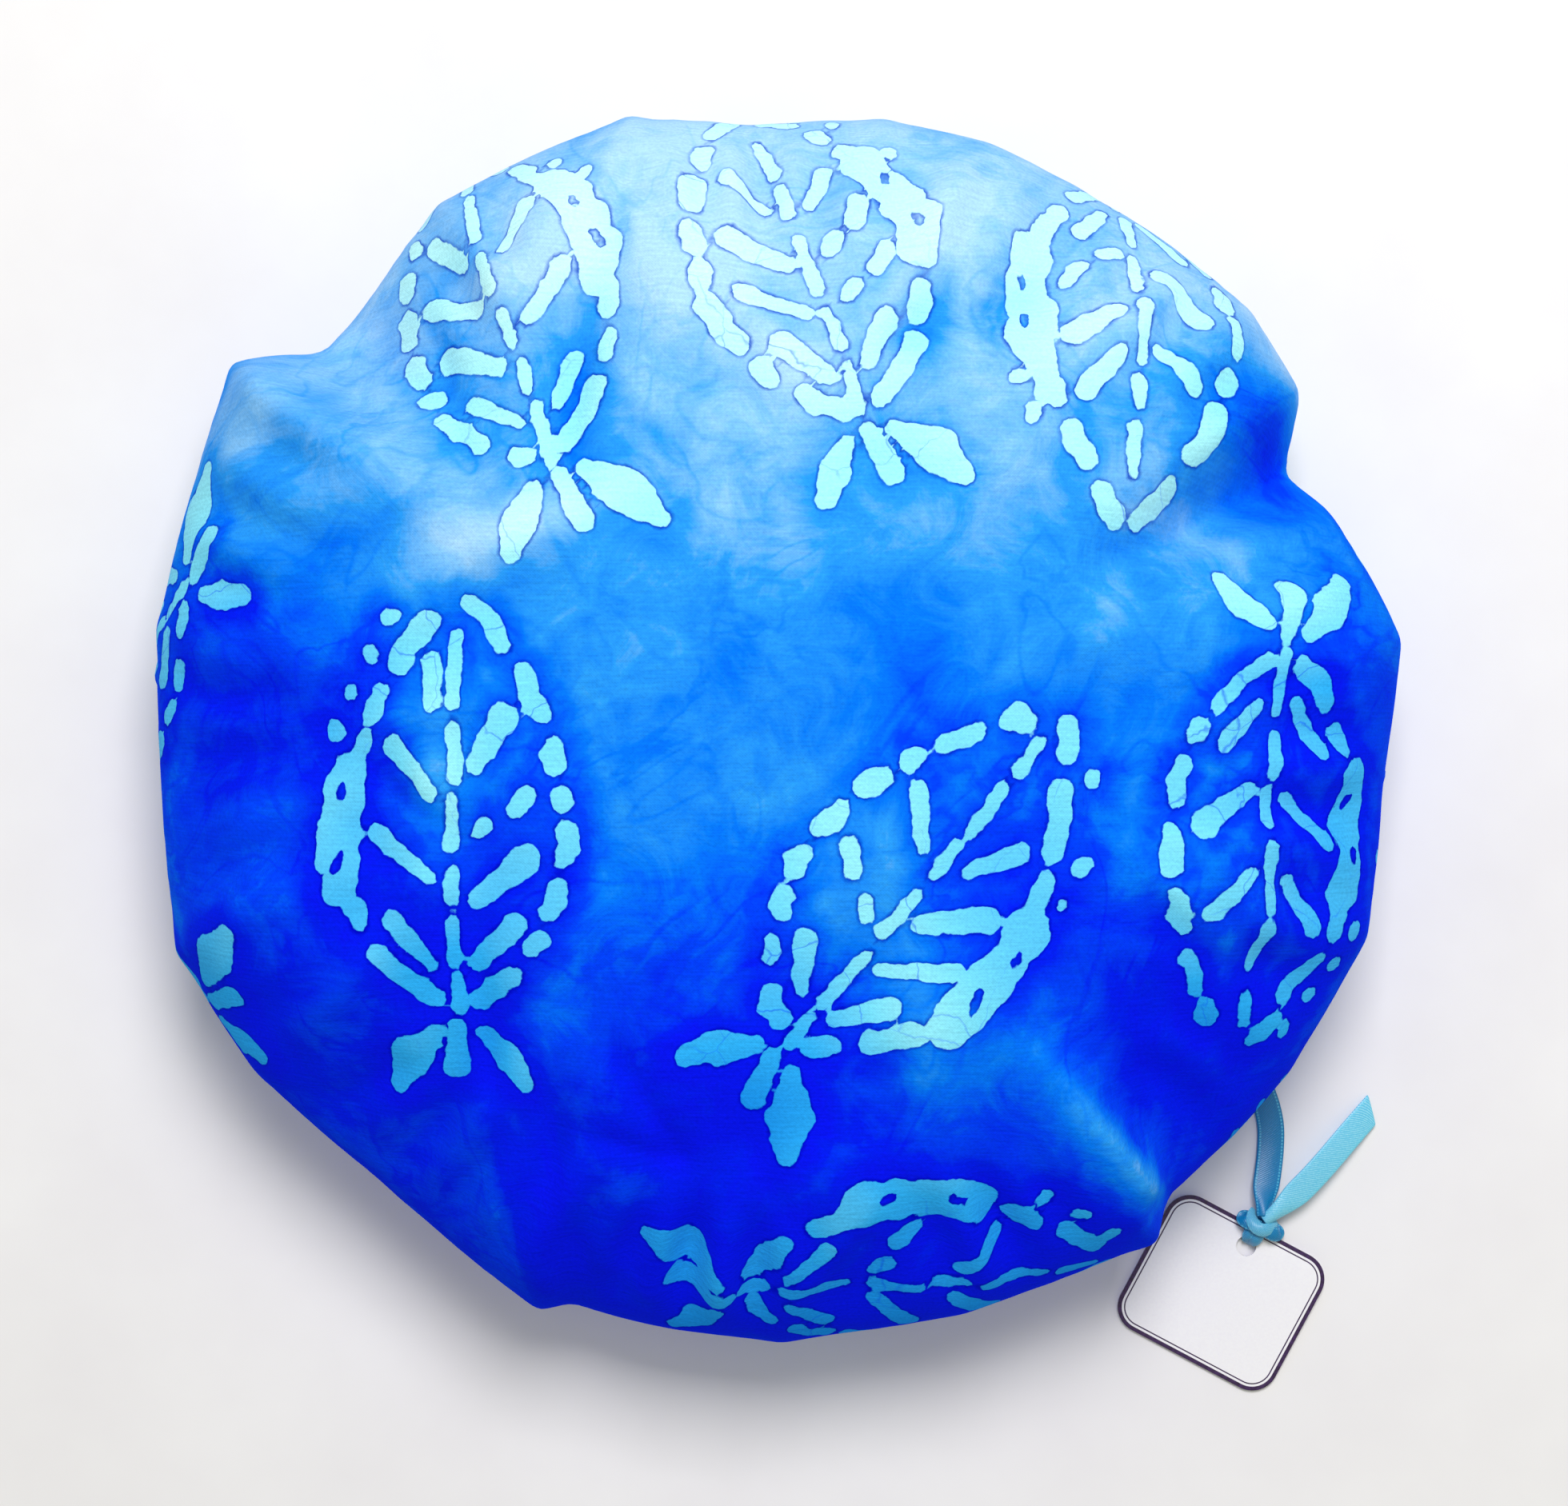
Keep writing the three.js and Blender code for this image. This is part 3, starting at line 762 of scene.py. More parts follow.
@dataclass
class CapShape:
    """Form of the relaxed cap: puffed crown, cornered rim, and underside drawn in to the casing. Sizes in mm.

    A place on the meridian runs from 0 at the crown over 1 at the rim to 2 at the hem in the casing.
    """

    # Rim from above: degrees, radius, and how far the cloth just below it swells out or is tucked in.
    rim: tuple[Point, ...] = (
        (-19.5, 135.5, -4), (-4, 132.5, 4.5), (8, 136.5, -3.5), (15, 133, 3.5), (22, 129.5, -2.5),
        (26.5, 125, -5.5), (29.5, 130.5, -2.5), (32.5, 136, 2.5), (41.5, 137.5, 4), (51.5, 134.5, -4),
        (61, 134.5, 4), (70, 134.5, -4), (80, 134.5, 4), (92.5, 131, -5), (103.5, 137, 5), (113, 134.5, -4),
        (123, 135.5, 4.5), (132, 129.5, -3), (140.5, 129, -5), (143.5, 137.5, 1), (146, 143, 5),
        (157.5, 136.5, -4.5), (171, 136.5, 4.5), (185.5, 134, -5), (200.5, 139.5, 5), (213.5, 135, -4),
        (231.5, 131, 4), (248, 137, -2), (250.5, 133.5, -5.5), (260, 132, -2), (270.5, 133.5, 4),
        (287.5, 133, -4.5), (306.7, 139.4, 5), (309.8, 132.6, 0), (318, 133, -4.5), (326, 134, 3.5))
    # Valleys that run in from the rim: degrees, depth, spread in degrees, and share where they fade out.
    valleys: tuple[tuple[float, float, float, float], ...] = (
        (26.5, 14, 5.6, 0.42), (92.5, 4, 6.2, 0.6), (137, 13, 5, 0.72), (185, 3, 5.6, 0.6),
        (250.5, 9, 3.1, 0.66), (316, 5, 5.6, 0.5))
    # Soft creases on the crown: start x, y, end x, y, height and half width.
    creases: tuple[tuple[float, ...], ...] = (
        (-86, 24, -36, 45, 2.2, 5.5), (-84, 10, -44, 30, -1.6, 6), (-70, -8, -73, -44, 2.0, 6),
        (-58, -8, -62, -56, -1.8, 6), (-62, 84, -42, 110, 2.2, 5), (-78, 88, -58, 104, -1.8, 5),
        (56, -69, 86, -104, 4.4, 4.2), (74, -70, 98, -88, -1.8, 7), (28, -52, 40, -98, 1.6, 7),
        (-46, -74, -48, -118, -3.0, 5), (-62, -76, -58, -108, 1.6, 6), (20, 54, 66, 42, -1.4, 7),
        (60, 22, 98, 4, 1.6, 6), (-20, 84, -34, 120, 1.6, 6), (84, 66, 112, 46, 1.6, 6),
        (-112, 40, -84, 52, 2.0, 6), (-116, -18, -88, -12, 1.6, 6), (-104, -64, -80, -46, 1.8, 6),
        (104, -34, 78, -24, 1.6, 6), (14, -116, 10, -88, 1.8, 6), (44, 118, 36, 90, 1.4, 6),
        (78, 98, 60, 76, 1.4, 6))
    crown: float = 82.0
    rim_height: float = 36.0
    dome_power: float = 2.4
    dome_fall: float = 0.6
    hem_radius: float = 80.6
    hem_level: float = 2.2
    casing_radius: float = 84.3
    mean_rim: float = 134.0
    # Blur of the rim's corners, and of the whole outline near the crown, in degrees.
    corner_blur: float = 0.55
    crown_blur: float = 14.0
    shoulder: float = 1.1
    # Roundness of the bottoms of valleys and of the tops of creases.
    valley_round: float = 0.3
    crease_round: float = 0.4
    gathers: int = 54
    gather_share: float = 0.85
    # Slow waves of the slack crown: number, height, and range of lengths.
    waves: int = 16
    wave_height: float = 0.175
    wave_lengths: tuple[float, float] = (24.0, 64.0)
    wrinkles: int = 60
    # Tucks above the rim: height, and the places where they begin and end.
    tucks: float = 0.8
    tuck_rise: tuple[float, float] = (0.7, 0.86)
    tuck_fall: tuple[float, float] = (0.88, 0.99)
    # Pleats below the rim: height, place of their tops and how it varies, length of rise, and where they end.
    pleats: float = 2.1
    pleat_top: tuple[float, float] = (1.1, 0.04)
    pleat_rise: float = 0.18
    pleat_fall: tuple[float, float] = (1.5, 1.75)
    # Place and spread of the band that is brought to the outline's corners.
    corner_band: tuple[float, float] = (1.08, 0.22)
    seed: int = 5

    def spans(self, column: int) -> tuple[np.ndarray, np.ndarray, np.ndarray, np.ndarray]:
        """Finds the rim's corners on either side of each of TURNS.

        Args:
            column: Column of the rim's table to read at the corners.

        Returns:
            Angle since the corner before and until the one after, in radians, and the column at both.
        """
        angle = np.radians([row[0] for row in self.rim] + [self.rim[0][0] + 360])
        value = np.array([row[column] for row in self.rim] + [self.rim[0][column]])
        turn = np.mod(TURNS - angle[0], FULL_TURN) + angle[0]
        i = np.clip(np.searchsorted(angle, turn, side="right") - 1, 0, len(angle) - 2)
        return turn - angle[i], angle[i + 1] - turn, value[i], value[i + 1]

    def outline(self) -> np.ndarray:
        """Reach of the rim: straight runs between its corners, a little rounded, centred on the origin.

        Returns:
            Radius at TURNS.
        """
        since, until, start, end = self.spans(1)
        chord = start * end * np.sin(since + until) / (start * np.sin(since) + end * np.sin(until))
        chord = smooth_ring(chord, self.corner_blur)
        x, y = chord * np.cos(TURNS), chord * np.sin(TURNS)
        x, y = x - (x.min() + x.max()) / 2, y - (y.min() + y.max()) / 2
        angle = np.mod(np.arctan2(y, x), FULL_TURN)
        order = np.argsort(angle)
        return np.interp(TURNS, angle[order], np.hypot(x, y)[order], period=FULL_TURN)

    def swells(self) -> np.ndarray:
        """Swell of the cloth below the rim at TURNS, eased from corner to corner."""
        since, until, start, end = self.spans(2)
        return start + (end - start) * ease(since / (since + until), 0.0, 1.0)

    def dome(self, share: np.ndarray) -> np.ndarray:
        """Height of the crown at each share of the way out to the rim."""
        fall = (1 - share ** self.dome_power) ** self.dome_fall
        return self.rim_height + (self.crown - self.rim_height) * fall

    def meridian(self) -> tuple[np.ndarray, np.ndarray]:
        """Mean section of the cap.

        Returns:
            Length from the crown, and the place on the meridian there.
        """
        share, turn = np.linspace(0, 1, 400), np.linspace(0, np.pi / 2, 400)
        under = self.hem_radius + (self.mean_rim - self.hem_radius) * np.cos(turn)
        fall = self.hem_level + (self.rim_height - self.hem_level) * (1 - np.sin(turn))
        radius = np.concatenate([self.mean_rim * share, under])
        height = np.concatenate([self.dome(share), fall])
        length = np.concatenate([[0], np.cumsum(np.hypot(np.diff(radius), np.diff(height)))])
        return length, np.concatenate([share, 1 + turn / (np.pi / 2)])

    def valley(self, angle: np.ndarray, share: np.ndarray) -> np.ndarray:
        """Depth of the valleys.

        Args:
            angle: Direction of each point.
            share: Share of the way out to the rim.

        Returns:
            Depth at each point.
        """
        depth = np.zeros_like(angle)
        for at, deep, spread, fade in self.valleys:
            away = np.mod(np.degrees(angle) - at + 180, 360) - 180
            profile = np.exp(self.valley_round - np.hypot(away / spread, self.valley_round))
            depth += deep * profile * ease(share, fade, 1.0)
        return depth

    def wrinkle_rows(self) -> list[tuple[float, ...]]:
        """Scatters short wrinkles towards the rim.

        Returns:
            Rows in the form of creases.
        """
        rng = np.random.default_rng(self.seed + 3)
        rows = []
        for _ in range(self.wrinkles):
            angle, lean = rng.uniform(0, FULL_TURN), rng.normal(0, 0.5)
            far, half_long = self.mean_rim * rng.uniform(0.5, 0.94), rng.uniform(8, 20)
            x, y = far * math.cos(angle), far * math.sin(angle)
            dx, dy = half_long * math.cos(angle + lean), half_long * math.sin(angle + lean)
            high = rng.uniform(0.8, 2.0) * rng.choice([-1, 1])
            rows.append((x - dx, y - dy, x + dx, y + dy, high, rng.uniform(2.8, 5.0)))
        return rows

    def crease(self, x: np.ndarray, y: np.ndarray) -> np.ndarray:
        """Rise of the creases, wrinkles and slow waves of the crown.

        Args:
            x: Place of each point across.
            y: Place of each point away from the viewer.

        Returns:
            Rise at each point.
        """
        rise = np.zeros_like(x)
        for x0, y0, x1, y1, high, half in (*self.creases, *self.wrinkle_rows()):
            run = np.array([x1 - x0, y1 - y0])
            share = ((x - x0) * run[0] + (y - y0) * run[1]) / (run @ run)
            aside = ((x - x0) * run[1] - (y - y0) * run[0]) / math.hypot(*run)
            profile = np.exp(self.crease_round - np.hypot(aside / half, self.crease_round))
            rise += high * profile * np.exp(-((share - 0.5) / 0.55) ** 4)
        rng = np.random.default_rng(self.seed + 1)
        for _ in range(self.waves):
            turn, phase = rng.uniform(0, FULL_TURN, 2)
            wave = FULL_TURN / rng.uniform(*self.wave_lengths)
            rise += self.wave_height * np.cos(wave * (x * math.cos(turn) + y * math.sin(turn)) + phase)
        return rise

    def pressed(self, points: np.ndarray, at: np.ndarray) -> np.ndarray:
        """Height of the creases at each point and place on the meridian, which end at the rim."""
        return self.crease(points[:, 0], points[:, 1]) * (1 - ease(at, 0.88, 1.0))

    def sharpen(self, points: np.ndarray, at: np.ndarray, inset: float) -> np.ndarray:
        """Brings a settled sheet's rim to the outline's corners, and gives it creases, tucks and pleats.

        Args:
            points: Places of its points.
            at: Place of each on the meridian.
            inset: How far the sheet lies inside the cap's outer face.

        Returns:
            New places.
        """
        radius = np.hypot(points[:, 0], points[:, 1])
        angle = np.mod(np.arctan2(points[:, 1], points[:, 0]), FULL_TURN)
        seen = np.zeros(360)
        np.maximum.at(seen, np.minimum(np.degrees(angle).astype(int), 359), radius)
        seen = np.interp(TURNS, np.radians(np.arange(360) + 0.5), seen, period=FULL_TURN)
        middle, spread = self.corner_band
        shift = along_ring(self.outline() - inset - seen, angle) * np.exp(-(((at - middle) / spread) ** 2))
        rng = np.random.default_rng(self.seed + 2)
        fine = along_ring(ring_noise(rng, 30, 64), angle)
        fine = fine * ease(at, *self.tuck_rise) * (1 - ease(at, *self.tuck_fall))
        top = self.pleat_top[0] + self.pleat_top[1] * along_ring(ring_noise(rng, 8, 20), angle)
        side = along_ring(ring_noise(rng, 26, 46), angle) * ease(at - top, 0.0, self.pleat_rise)
        side = side * (1 - ease(at, *self.pleat_fall))
        relief = self.pressed(points, at) + self.tucks * fine + self.pleats * side
        lean = np.pi / 2 * (ease(at, 0.6, 1.0) + np.clip(at - 1, 0, 1))
        grow = (radius + shift + relief * np.sin(lean)) / np.maximum(radius, 1e-6)
        return np.column_stack([points[:, :2] * grow[:, None], points[:, 2] + relief * np.cos(lean)])

    def place(self, angle: np.ndarray, share: np.ndarray,
              flat_radius: float) -> tuple[np.ndarray, np.ndarray]:
        """Start shape of the gathered cloth.

        Args:
            angle: Direction of each point of the flat circle.
            share: Its distance from the middle, as a share of the circle's radius.
            flat_radius: Radius of the flat circle.

        Returns:
            Points, and the place of each on the meridian.
        """
        rim = self.outline()
        reach, soft = along_ring(rim, angle), along_ring(smooth_ring(rim, self.crown_blur), angle)
        length, stretch = self.meridian()
        at = np.interp(share * length[-1], length, stretch)
        out, under = np.clip(at, 0, 1), np.clip(at - 1, 0, 1) * np.pi / 2
        wide = soft + (reach - soft) * ease(out, 0.35, 1.0)
        shoulder = self.shoulder * (reach - soft) * ease(out, 0.55, 0.9) * (1 - ease(out, 0.93, 1.0))
        top = self.dome(out) - self.valley(angle, out) + shoulder
        low_rim = self.rim_height - self.valley(angle, np.ones_like(angle))
        radius = np.where(at <= 1, wide * out, self.hem_radius + (reach - self.hem_radius) * np.cos(under))
        level = np.where(at <= 1, top, self.hem_level + (low_rim - self.hem_level) * (1 - np.sin(under)))

        rng = np.random.default_rng(self.seed)
        phase = self.gathers * TURNS + 1.1 * ring_noise(rng, 2, 9) + 0.5 * ring_noise(rng, 10, 24)
        fine = np.cos(phase) * (1 + 0.3 * ring_noise(rng, 6, 30))
        spare = np.sqrt(np.clip((share * flat_radius / np.maximum(radius, 1e-3)) ** 2 - 1, 0, None))
        wave = along_ring(fine, angle) * 2 * radius / self.gathers * spare * self.gather_share
        near = ease(radius, self.casing_radius + 8, self.casing_radius - 2)
        wave = wave * ease(at, 1.06, 1.6) * (1 - 0.85 * near)
        wave = wave + along_ring(self.swells(), angle) * ease(at, 0.93, 1.22) * (1 - ease(at, 1.5, 1.92))
        radius, level = radius + wave * np.cos(under) * (at > 0.6), level - wave * np.sin(under)
        return np.stack([radius * np.cos(angle), radius * np.sin(angle), level], 1), at


@dataclass
class GatheredCloth:
    """A circle of cloth drawn in by its edge: settled from its flat cut, then refined. Sizes in mm."""

    shape: CapShape
    flat_radius: float = 215.0
    cells: int = 78
    frames: int = 30
    # While it settles: how firmly the rim is held, over what stretch of the meridian, and room between folds.
    rim_hold: tuple[float, float] = (0.25, 0.1)
    fold_room: float = 1.2
    # Places on the meridian between which the settled form takes over from the puffed crown.
    takes_over: tuple[float, float] = (0.94, 1.2)
    # Room over the floor, for the settled folds and at the very least.
    floor_room: float = 1.3
    least_room: float = 0.3
    # Height of the cloth between the casing's lips, and how steeply it may rise outside them.
    lip_room: float = 2.9
    lip_slope: float = 1.6
    # Where that slope begins, outside the casing, and the place on the meridian from which it holds.
    lip_start: float = 0.6
    lip_from: float = 1.4
    # Share of a sheet's depth that still parts it from the cover there.
    layer_gap: float = 0.4
    # Rounding of the folds between these places on the meridian, where a coarse grid leaves them pointed.
    soft_from: float = 1.1
    soft_to: float = 1.86
    soft: float = 0.3
    soft_rounds: int = 3
    flat: np.ndarray = field(init=False, repr=False)
    at: np.ndarray = field(init=False, repr=False)
    points: np.ndarray = field(init=False, repr=False)
    mesh: bpy.types.Mesh = field(init=False, repr=False)

    def build(self) -> None:
        """Lays a square grid on the circle, gathers it, lets it settle and rounds its folds."""
        work = bmesh.new()
        bmesh.ops.create_grid(work, x_segments=self.cells, y_segments=self.cells, size=1.0)
        work.verts.ensure_lookup_table()
        a, b = np.array([v.co[:2] for v in work.verts]).T
        self.flat = self.flat_radius * np.stack([a * np.sqrt(1 - b * b / 2), b * np.sqrt(1 - a * a / 2)], 1)
        share = np.hypot(*self.flat.T) / self.flat_radius
        angle = np.arctan2(self.flat[:, 1], self.flat[:, 0])
        start, self.at = self.shape.place(angle, share, self.flat_radius)
        for vert, point in zip(work.verts, start):
            vert.co = point * MM
        for face in work.faces:
            face.smooth = True
        self.mesh = bpy.data.meshes.new("gathered_circle")
        work.to_mesh(self.mesh)
        points = self.settle(start, share)
        for vert, point in zip(work.verts, points):
            vert.co = point * MM
        folds = [v for v, at in zip(work.verts, self.at) if self.soft_from < at < self.soft_to]
        for _ in range(self.soft_rounds):
            bmesh.ops.smooth_vert(work, verts=folds, factor=self.soft, use_axis_x=True, use_axis_y=True,
                                  use_axis_z=True)
        self.points = np.array([v.co for v in work.verts]) / MM
        work.free()

    def settle(self, start: np.ndarray, share: np.ndarray) -> np.ndarray:
        """Runs the cloth from the gathered start with the flat circle as its rest shape.

        Args:
            start: Start places.
            share: Distance of each point from the flat circle's middle, 1 at its edge.

        Returns:
            Settled places: as they fell below the rim, and as they started on the puffed crown.
        """
        piece = bpy.data.objects.new("settling_circle", self.mesh.copy())
        scene = bpy.context.scene
        scene.collection.objects.link(piece)
        piece.shape_key_add(name="Basis")
        cut = piece.shape_key_add(name="flat_cut", from_mix=False)
        cut.data.foreach_set("co", (np.column_stack([self.flat, np.zeros(len(self.flat))]) * MM).ravel())
        held = piece.vertex_groups.new(name="held")
        firm, stretch = self.rim_hold
        hold = np.where(share > 1 - 1e-6, 1.0, firm * np.exp(-(((self.at - 1.0) / stretch) ** 2)))
        for i in np.flatnonzero(hold > 0.002):
            held.add([int(i)], float(hold[i]), "REPLACE")
        cloth = piece.modifiers.new("cotton", "CLOTH")
        cotton = {"quality": 6, "mass": 0.005, "tension_stiffness": 15, "compression_stiffness": 15,
                  "shear_stiffness": 7.5, "bending_stiffness": 2, "tension_damping": 10,
                  "compression_damping": 10, "vertex_group_mass": "held", "use_pressure": True,
                  "uniform_pressure_force": 1.0, "rest_shape_key": cut}
        for name, value in cotton.items():
            setattr(cloth.settings, name, value)
        cloth.settings.effector_weights.gravity = 0
        cloth.collision_settings.use_collision = False
        cloth.collision_settings.use_self_collision = True
        cloth.collision_settings.self_distance_min = self.fold_room * MM
        for step in range(1, self.frames + 1):
            scene.frame_set(step)
        done = bpy.data.meshes.new_from_object(piece.evaluated_get(bpy.context.evaluated_depsgraph_get()))
        settled = np.zeros(len(done.vertices) * 3, np.float32)
        done.vertices.foreach_get("co", settled)
        bpy.data.objects.remove(piece)
        bpy.data.meshes.remove(done)
        scene.frame_set(1)
        moved = settled.reshape(-1, 3).astype(float) / MM - start
        LOG.info("cloth moved up to %.1f mm", np.linalg.norm(moved, axis=1).max())
        return start + moved * ease(self.at, *self.takes_over)[:, None]

    def settled_mesh(self, depth: float) -> bpy.types.Mesh:
        """Copies the settled grid at a depth under the cap's outer face, clear of the floor.

        Args:
            depth: Distance inwards.

        Returns:
            The mesh, with its flat coordinates as flat_mm and its places on the meridian as place.
        """
        mesh = self.mesh.copy()
        points = self.points.copy()
        casing = self.shape.casing_radius
        out = ease(np.hypot(points[:, 0], points[:, 1]), casing - 1, casing + 3)
        low = self.floor_room * out * (self.at > 1)
        lifted = low + np.logaddexp(0, (points[:, 2] - low) * 3) / 3
        points[:, 2] = np.where(self.at > 1, lifted, points[:, 2])
        mesh.vertices.foreach_set("co", (points * MM).ravel())
        mesh.update()
        if depth:
            normals = np.zeros(len(points) * 3, np.float32)
            mesh.vertices.foreach_get("normal", normals)
            mesh.vertices.foreach_set("co", ((points - depth * normals.reshape(-1, 3)) * MM).ravel())
            mesh.update()
        laid = mesh.attributes.new("flat_mm", "FLOAT_VECTOR", "POINT")
        laid.data.foreach_set("vector", np.column_stack([self.flat, np.zeros(len(self.flat))]).ravel())
        mesh.attributes.new("place", "FLOAT", "POINT").data.foreach_set("value", self.at.astype(np.float32))
        return mesh

    def layer(self, name: str, depth: float, levels: int, material: bpy.types.Material) -> bpy.types.Object:
        """Makes one sheet of the cap at a depth under its outer face.

        Args:
            name: Name of the piece.
            depth: Distance inwards.
            levels: Subdivisions of the settled grid.
            material: Its finish.

        Returns:
            The sheet, with the attributes of the settled mesh.
        """
        coarse = bpy.data.objects.new(name + "_coarse", self.settled_mesh(depth))
        bpy.context.scene.collection.objects.link(coarse)
        finer = coarse.modifiers.new("finer", "SUBSURF")
        finer.levels = finer.render_levels = levels
        sheet = bpy.data.meshes.new_from_object(coarse.evaluated_get(bpy.context.evaluated_depsgraph_get()))
        bpy.data.objects.remove(coarse)
        sheet.name = name
        sheet.materials.append(material)
        piece = bpy.data.objects.new(name, sheet)
        points, at = self.places(piece)
        fine = self.shape.sharpen(points, at, depth)
        out = np.hypot(fine[:, 0], fine[:, 1]) - self.shape.casing_radius
        gap = self.layer_gap * depth
        roof = self.lip_room + gap + self.lip_slope * np.maximum(out - self.lip_start, 0.0)
        fine[:, 2] = np.where(at > self.lip_from, np.minimum(fine[:, 2], roof), fine[:, 2])
        fine[:, 2] = np.maximum(fine[:, 2], self.least_room + gap)
        sheet.vertices.foreach_set("co", (fine * MM).ravel().astype(np.float32))
        sheet.update()
        bpy.context.scene.collection.objects.link(piece)
        return piece

    def places(self, piece: bpy.types.Object) -> tuple[np.ndarray, np.ndarray]:
        """Reads a sheet's points.

        Args:
            piece: A sheet with the attribute place.

        Returns:
            Its points, and the place of each on the meridian.
        """
        count = len(piece.data.vertices)
        points, at = np.zeros(count * 3, np.float32), np.zeros(count, np.float32)
        piece.data.vertices.foreach_get("co", points)
        piece.data.attributes["place"].data.foreach_get("value", at)
        return points.reshape(-1, 3).astype(float) / MM, at.astype(float)

    def declare(self, piece: bpy.types.Object, rests_on: str) -> None:
        """Takes a sheet and what it rests on, and does nothing with them.

        Args:
            piece: The sheet; not used.
            rests_on: Name of the node or piece that it rests on; not used.
        """


@dataclass
class Cap:
    """The cap: dyed cover, waterproof lining, casing with its stitches, and elastic. Sizes in mm."""

    cloth: GatheredCloth
    print_design: LeafPrint
    # Dye over the cloth, with painted light and shade in it.
    dye: DyeAndPaintedLight
    lining_depth: float = 1.0
    mouth: float = 70.0
    casing_out: float = 84.3
    casing_top: float = 4.3
    wall: float = 0.85
    steps: int = 360
    # Puckers of the tape: height on its faces, and how far they narrow the mouth.
    pucker: float = 0.5
    mouth_pucker: float = 0.9
    pucker_seed: int = 9
    # Stitches: spacing, length as a share of it, breadth, height, and radius of the two rows.
    stitch: float = 3.4
    stitch_share: float = 0.78
    thread: float = 0.5
    thread_height: float = 0.24
    rows: tuple[float, float] = (82.4, 79.7)
    # Painted shade in the creases and painted highlight on their ridges: lightness for each mm of height.
    crease_light_and_shade: float = 0.05
    ridges: list[np.ndarray] = field(init=False, repr=False)

    def __post_init__(self) -> None:
        """Draws the tape's puckers at its seam and at the mouth."""
        rng = np.random.default_rng(self.pucker_seed)
        self.ridges = [ring_noise(rng, 50, 84), ring_noise(rng, 84, 130)]

    def build(self) -> None:
        """Builds every piece of the cap and lets them ride on it."""
        self.cloth.build()
        self.dress_cover()
        self.dress_lining()
        self.build_casing()
        self.build_stitches()
        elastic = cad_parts["elastic_band"]
        elastic.data.materials.clear()
        elastic.data.materials.append(Braid().make())

    def dress_cover(self) -> None:
        """Draws the wax on the cover and hangs it as a sheet."""
        cover = self.cloth.layer("dyed_cover", 0.0, 2, BatikCotton().make())
        flat = np.zeros(len(cover.data.vertices) * 3, np.float32)
        cover.data.attributes["flat_mm"].data.foreach_get("vector", flat)
        flat = flat.reshape(-1, 3)[:, :2].astype(float)
        # The cloth's lightness: the dye with its painted light and shade, plus painted shade in the creases
        # and painted highlights on their ridges.
        dye_light_and_shade = self.dye.depth(flat) + self.crease_light_and_shade * self.cloth.shape.pressed(*self.cloth.places(cover))
        for name, values in (("wax_mm", self.print_design.distance(flat)), ("dye", dye_light_and_shade)):
            made = cover.data.attributes.new(name, "FLOAT", "POINT")
            made.data.foreach_set("value", values.astype(np.float32))
        enlist(cover, Body.CAP, Slot.COTTON, "outer_cover")
        self.cloth.declare(cover, "elastic_casing")

    def dress_lining(self) -> None:
        """Hangs the lining inside the cover."""
        # Thin coated cloth: it shows no weave, only a soft, faintly uneven gloss.
        finish = SmoothStock("coated_lining", "EDF1F4", "DCE4E8", grain=16.0, roughness=0.42, relief=0.6)
        lining = self.cloth.layer("coated_lining", self.lining_depth, 1, finish.make())
        enlist(lining, Body.CAP, Slot.LINING, "lining")
        self.cloth.declare(lining, "dyed_cover")

    def gather(self, angle: float, radius: float) -> float:
        """Height of the tape's puckers, which branch from the seam to the mouth.

        Args:
            angle: Direction from the middle of the mouth.
            radius: Distance from it.

        Returns:
            0 to 1.
        """
        seam, mouth = (float(along_ring(ridge, np.array(angle))) for ridge in self.ridges)
        share = min(max((radius - self.mouth) / (self.casing_out - self.mouth), 0.0), 1.0)
        return 0.5 + 0.5 * math.tanh(0.9 * ((1 - share) * mouth + (0.35 + 0.65 * share) * seam))

    def casing_outline(self) -> list[tuple[float, float]]:
        """Section of the folded tape, open towards the cloth.

        Returns:
            Radius and height of each corner, round the section.
        """
        inner, out, top, wall = self.mouth, self.casing_out, self.casing_top, self.wall
        lower_lip = [(out, 0.25), (out + 0.15, wall * 0.6), (out - 0.1, wall), (out - 5, wall + 0.05)]
        inside = [(inner + 1.4, wall + 0.05), (inner + wall + 0.1, wall + 0.5),
                  (inner + wall + 0.1, top - wall - 0.5), (inner + 1.4, top - wall)]
        upper_lip = [(out - 5, top - wall), (out - 0.1, top - wall), (out + 0.2, top - wall * 0.5),
                     (out, top - 0.05), (out - 4, top + 0.1)]
        fold = [(inner + 5, top + 0.1), (inner + 1.6, top - 0.05), (inner + 0.45, top - 0.6),
                (inner, top - 1.6), (inner, 1.5), (inner + 0.45, 0.5), (inner + 1.6, 0.12),
                (inner + 5, 0.12), (out - 4, 0.12)]
        return [*lower_lip, *inside, *upper_lip, *fold]

    def build_casing(self) -> None:
        """Spins the folded tape round the mouth and puckers it."""
        work = bmesh.new()
        corners = [work.verts.new((radius * MM, 0, height * MM)) for radius, height in self.casing_outline()]
        edges = [work.edges.new((corners[i - 1], corner)) for i, corner in enumerate(corners)]
        bmesh.ops.spin(work, geom=[*corners, *edges], cent=(0, 0, 0), axis=(0, 0, 1), angle=FULL_TURN,
                       steps=self.steps, use_merge=True)
        skin = 0.7 * MM
        for vert in work.verts:
            angle, radius = math.atan2(vert.co.y, vert.co.x), math.hypot(vert.co.x, vert.co.y) / MM
            gather = self.gather(angle, radius)
            near = max(0.0, 1 - (radius - self.mouth) / 0.8)
            grow = 1 - self.mouth_pucker * near * gather / radius
            low = max(0.0, 1 - vert.co.z / skin)
            high = max(0.0, 1 - (self.casing_top * MM - vert.co.z) / skin)
            lift = self.pucker * (low + high) * gather * MM
            vert.co = (vert.co.x * grow, vert.co.y * grow, vert.co.z + lift)
        casing = finish_mesh("puckered_casing", work, [CottonTape().make()])
        enlist(casing, Body.CAP, Slot.TAPE, "elastic_casing")

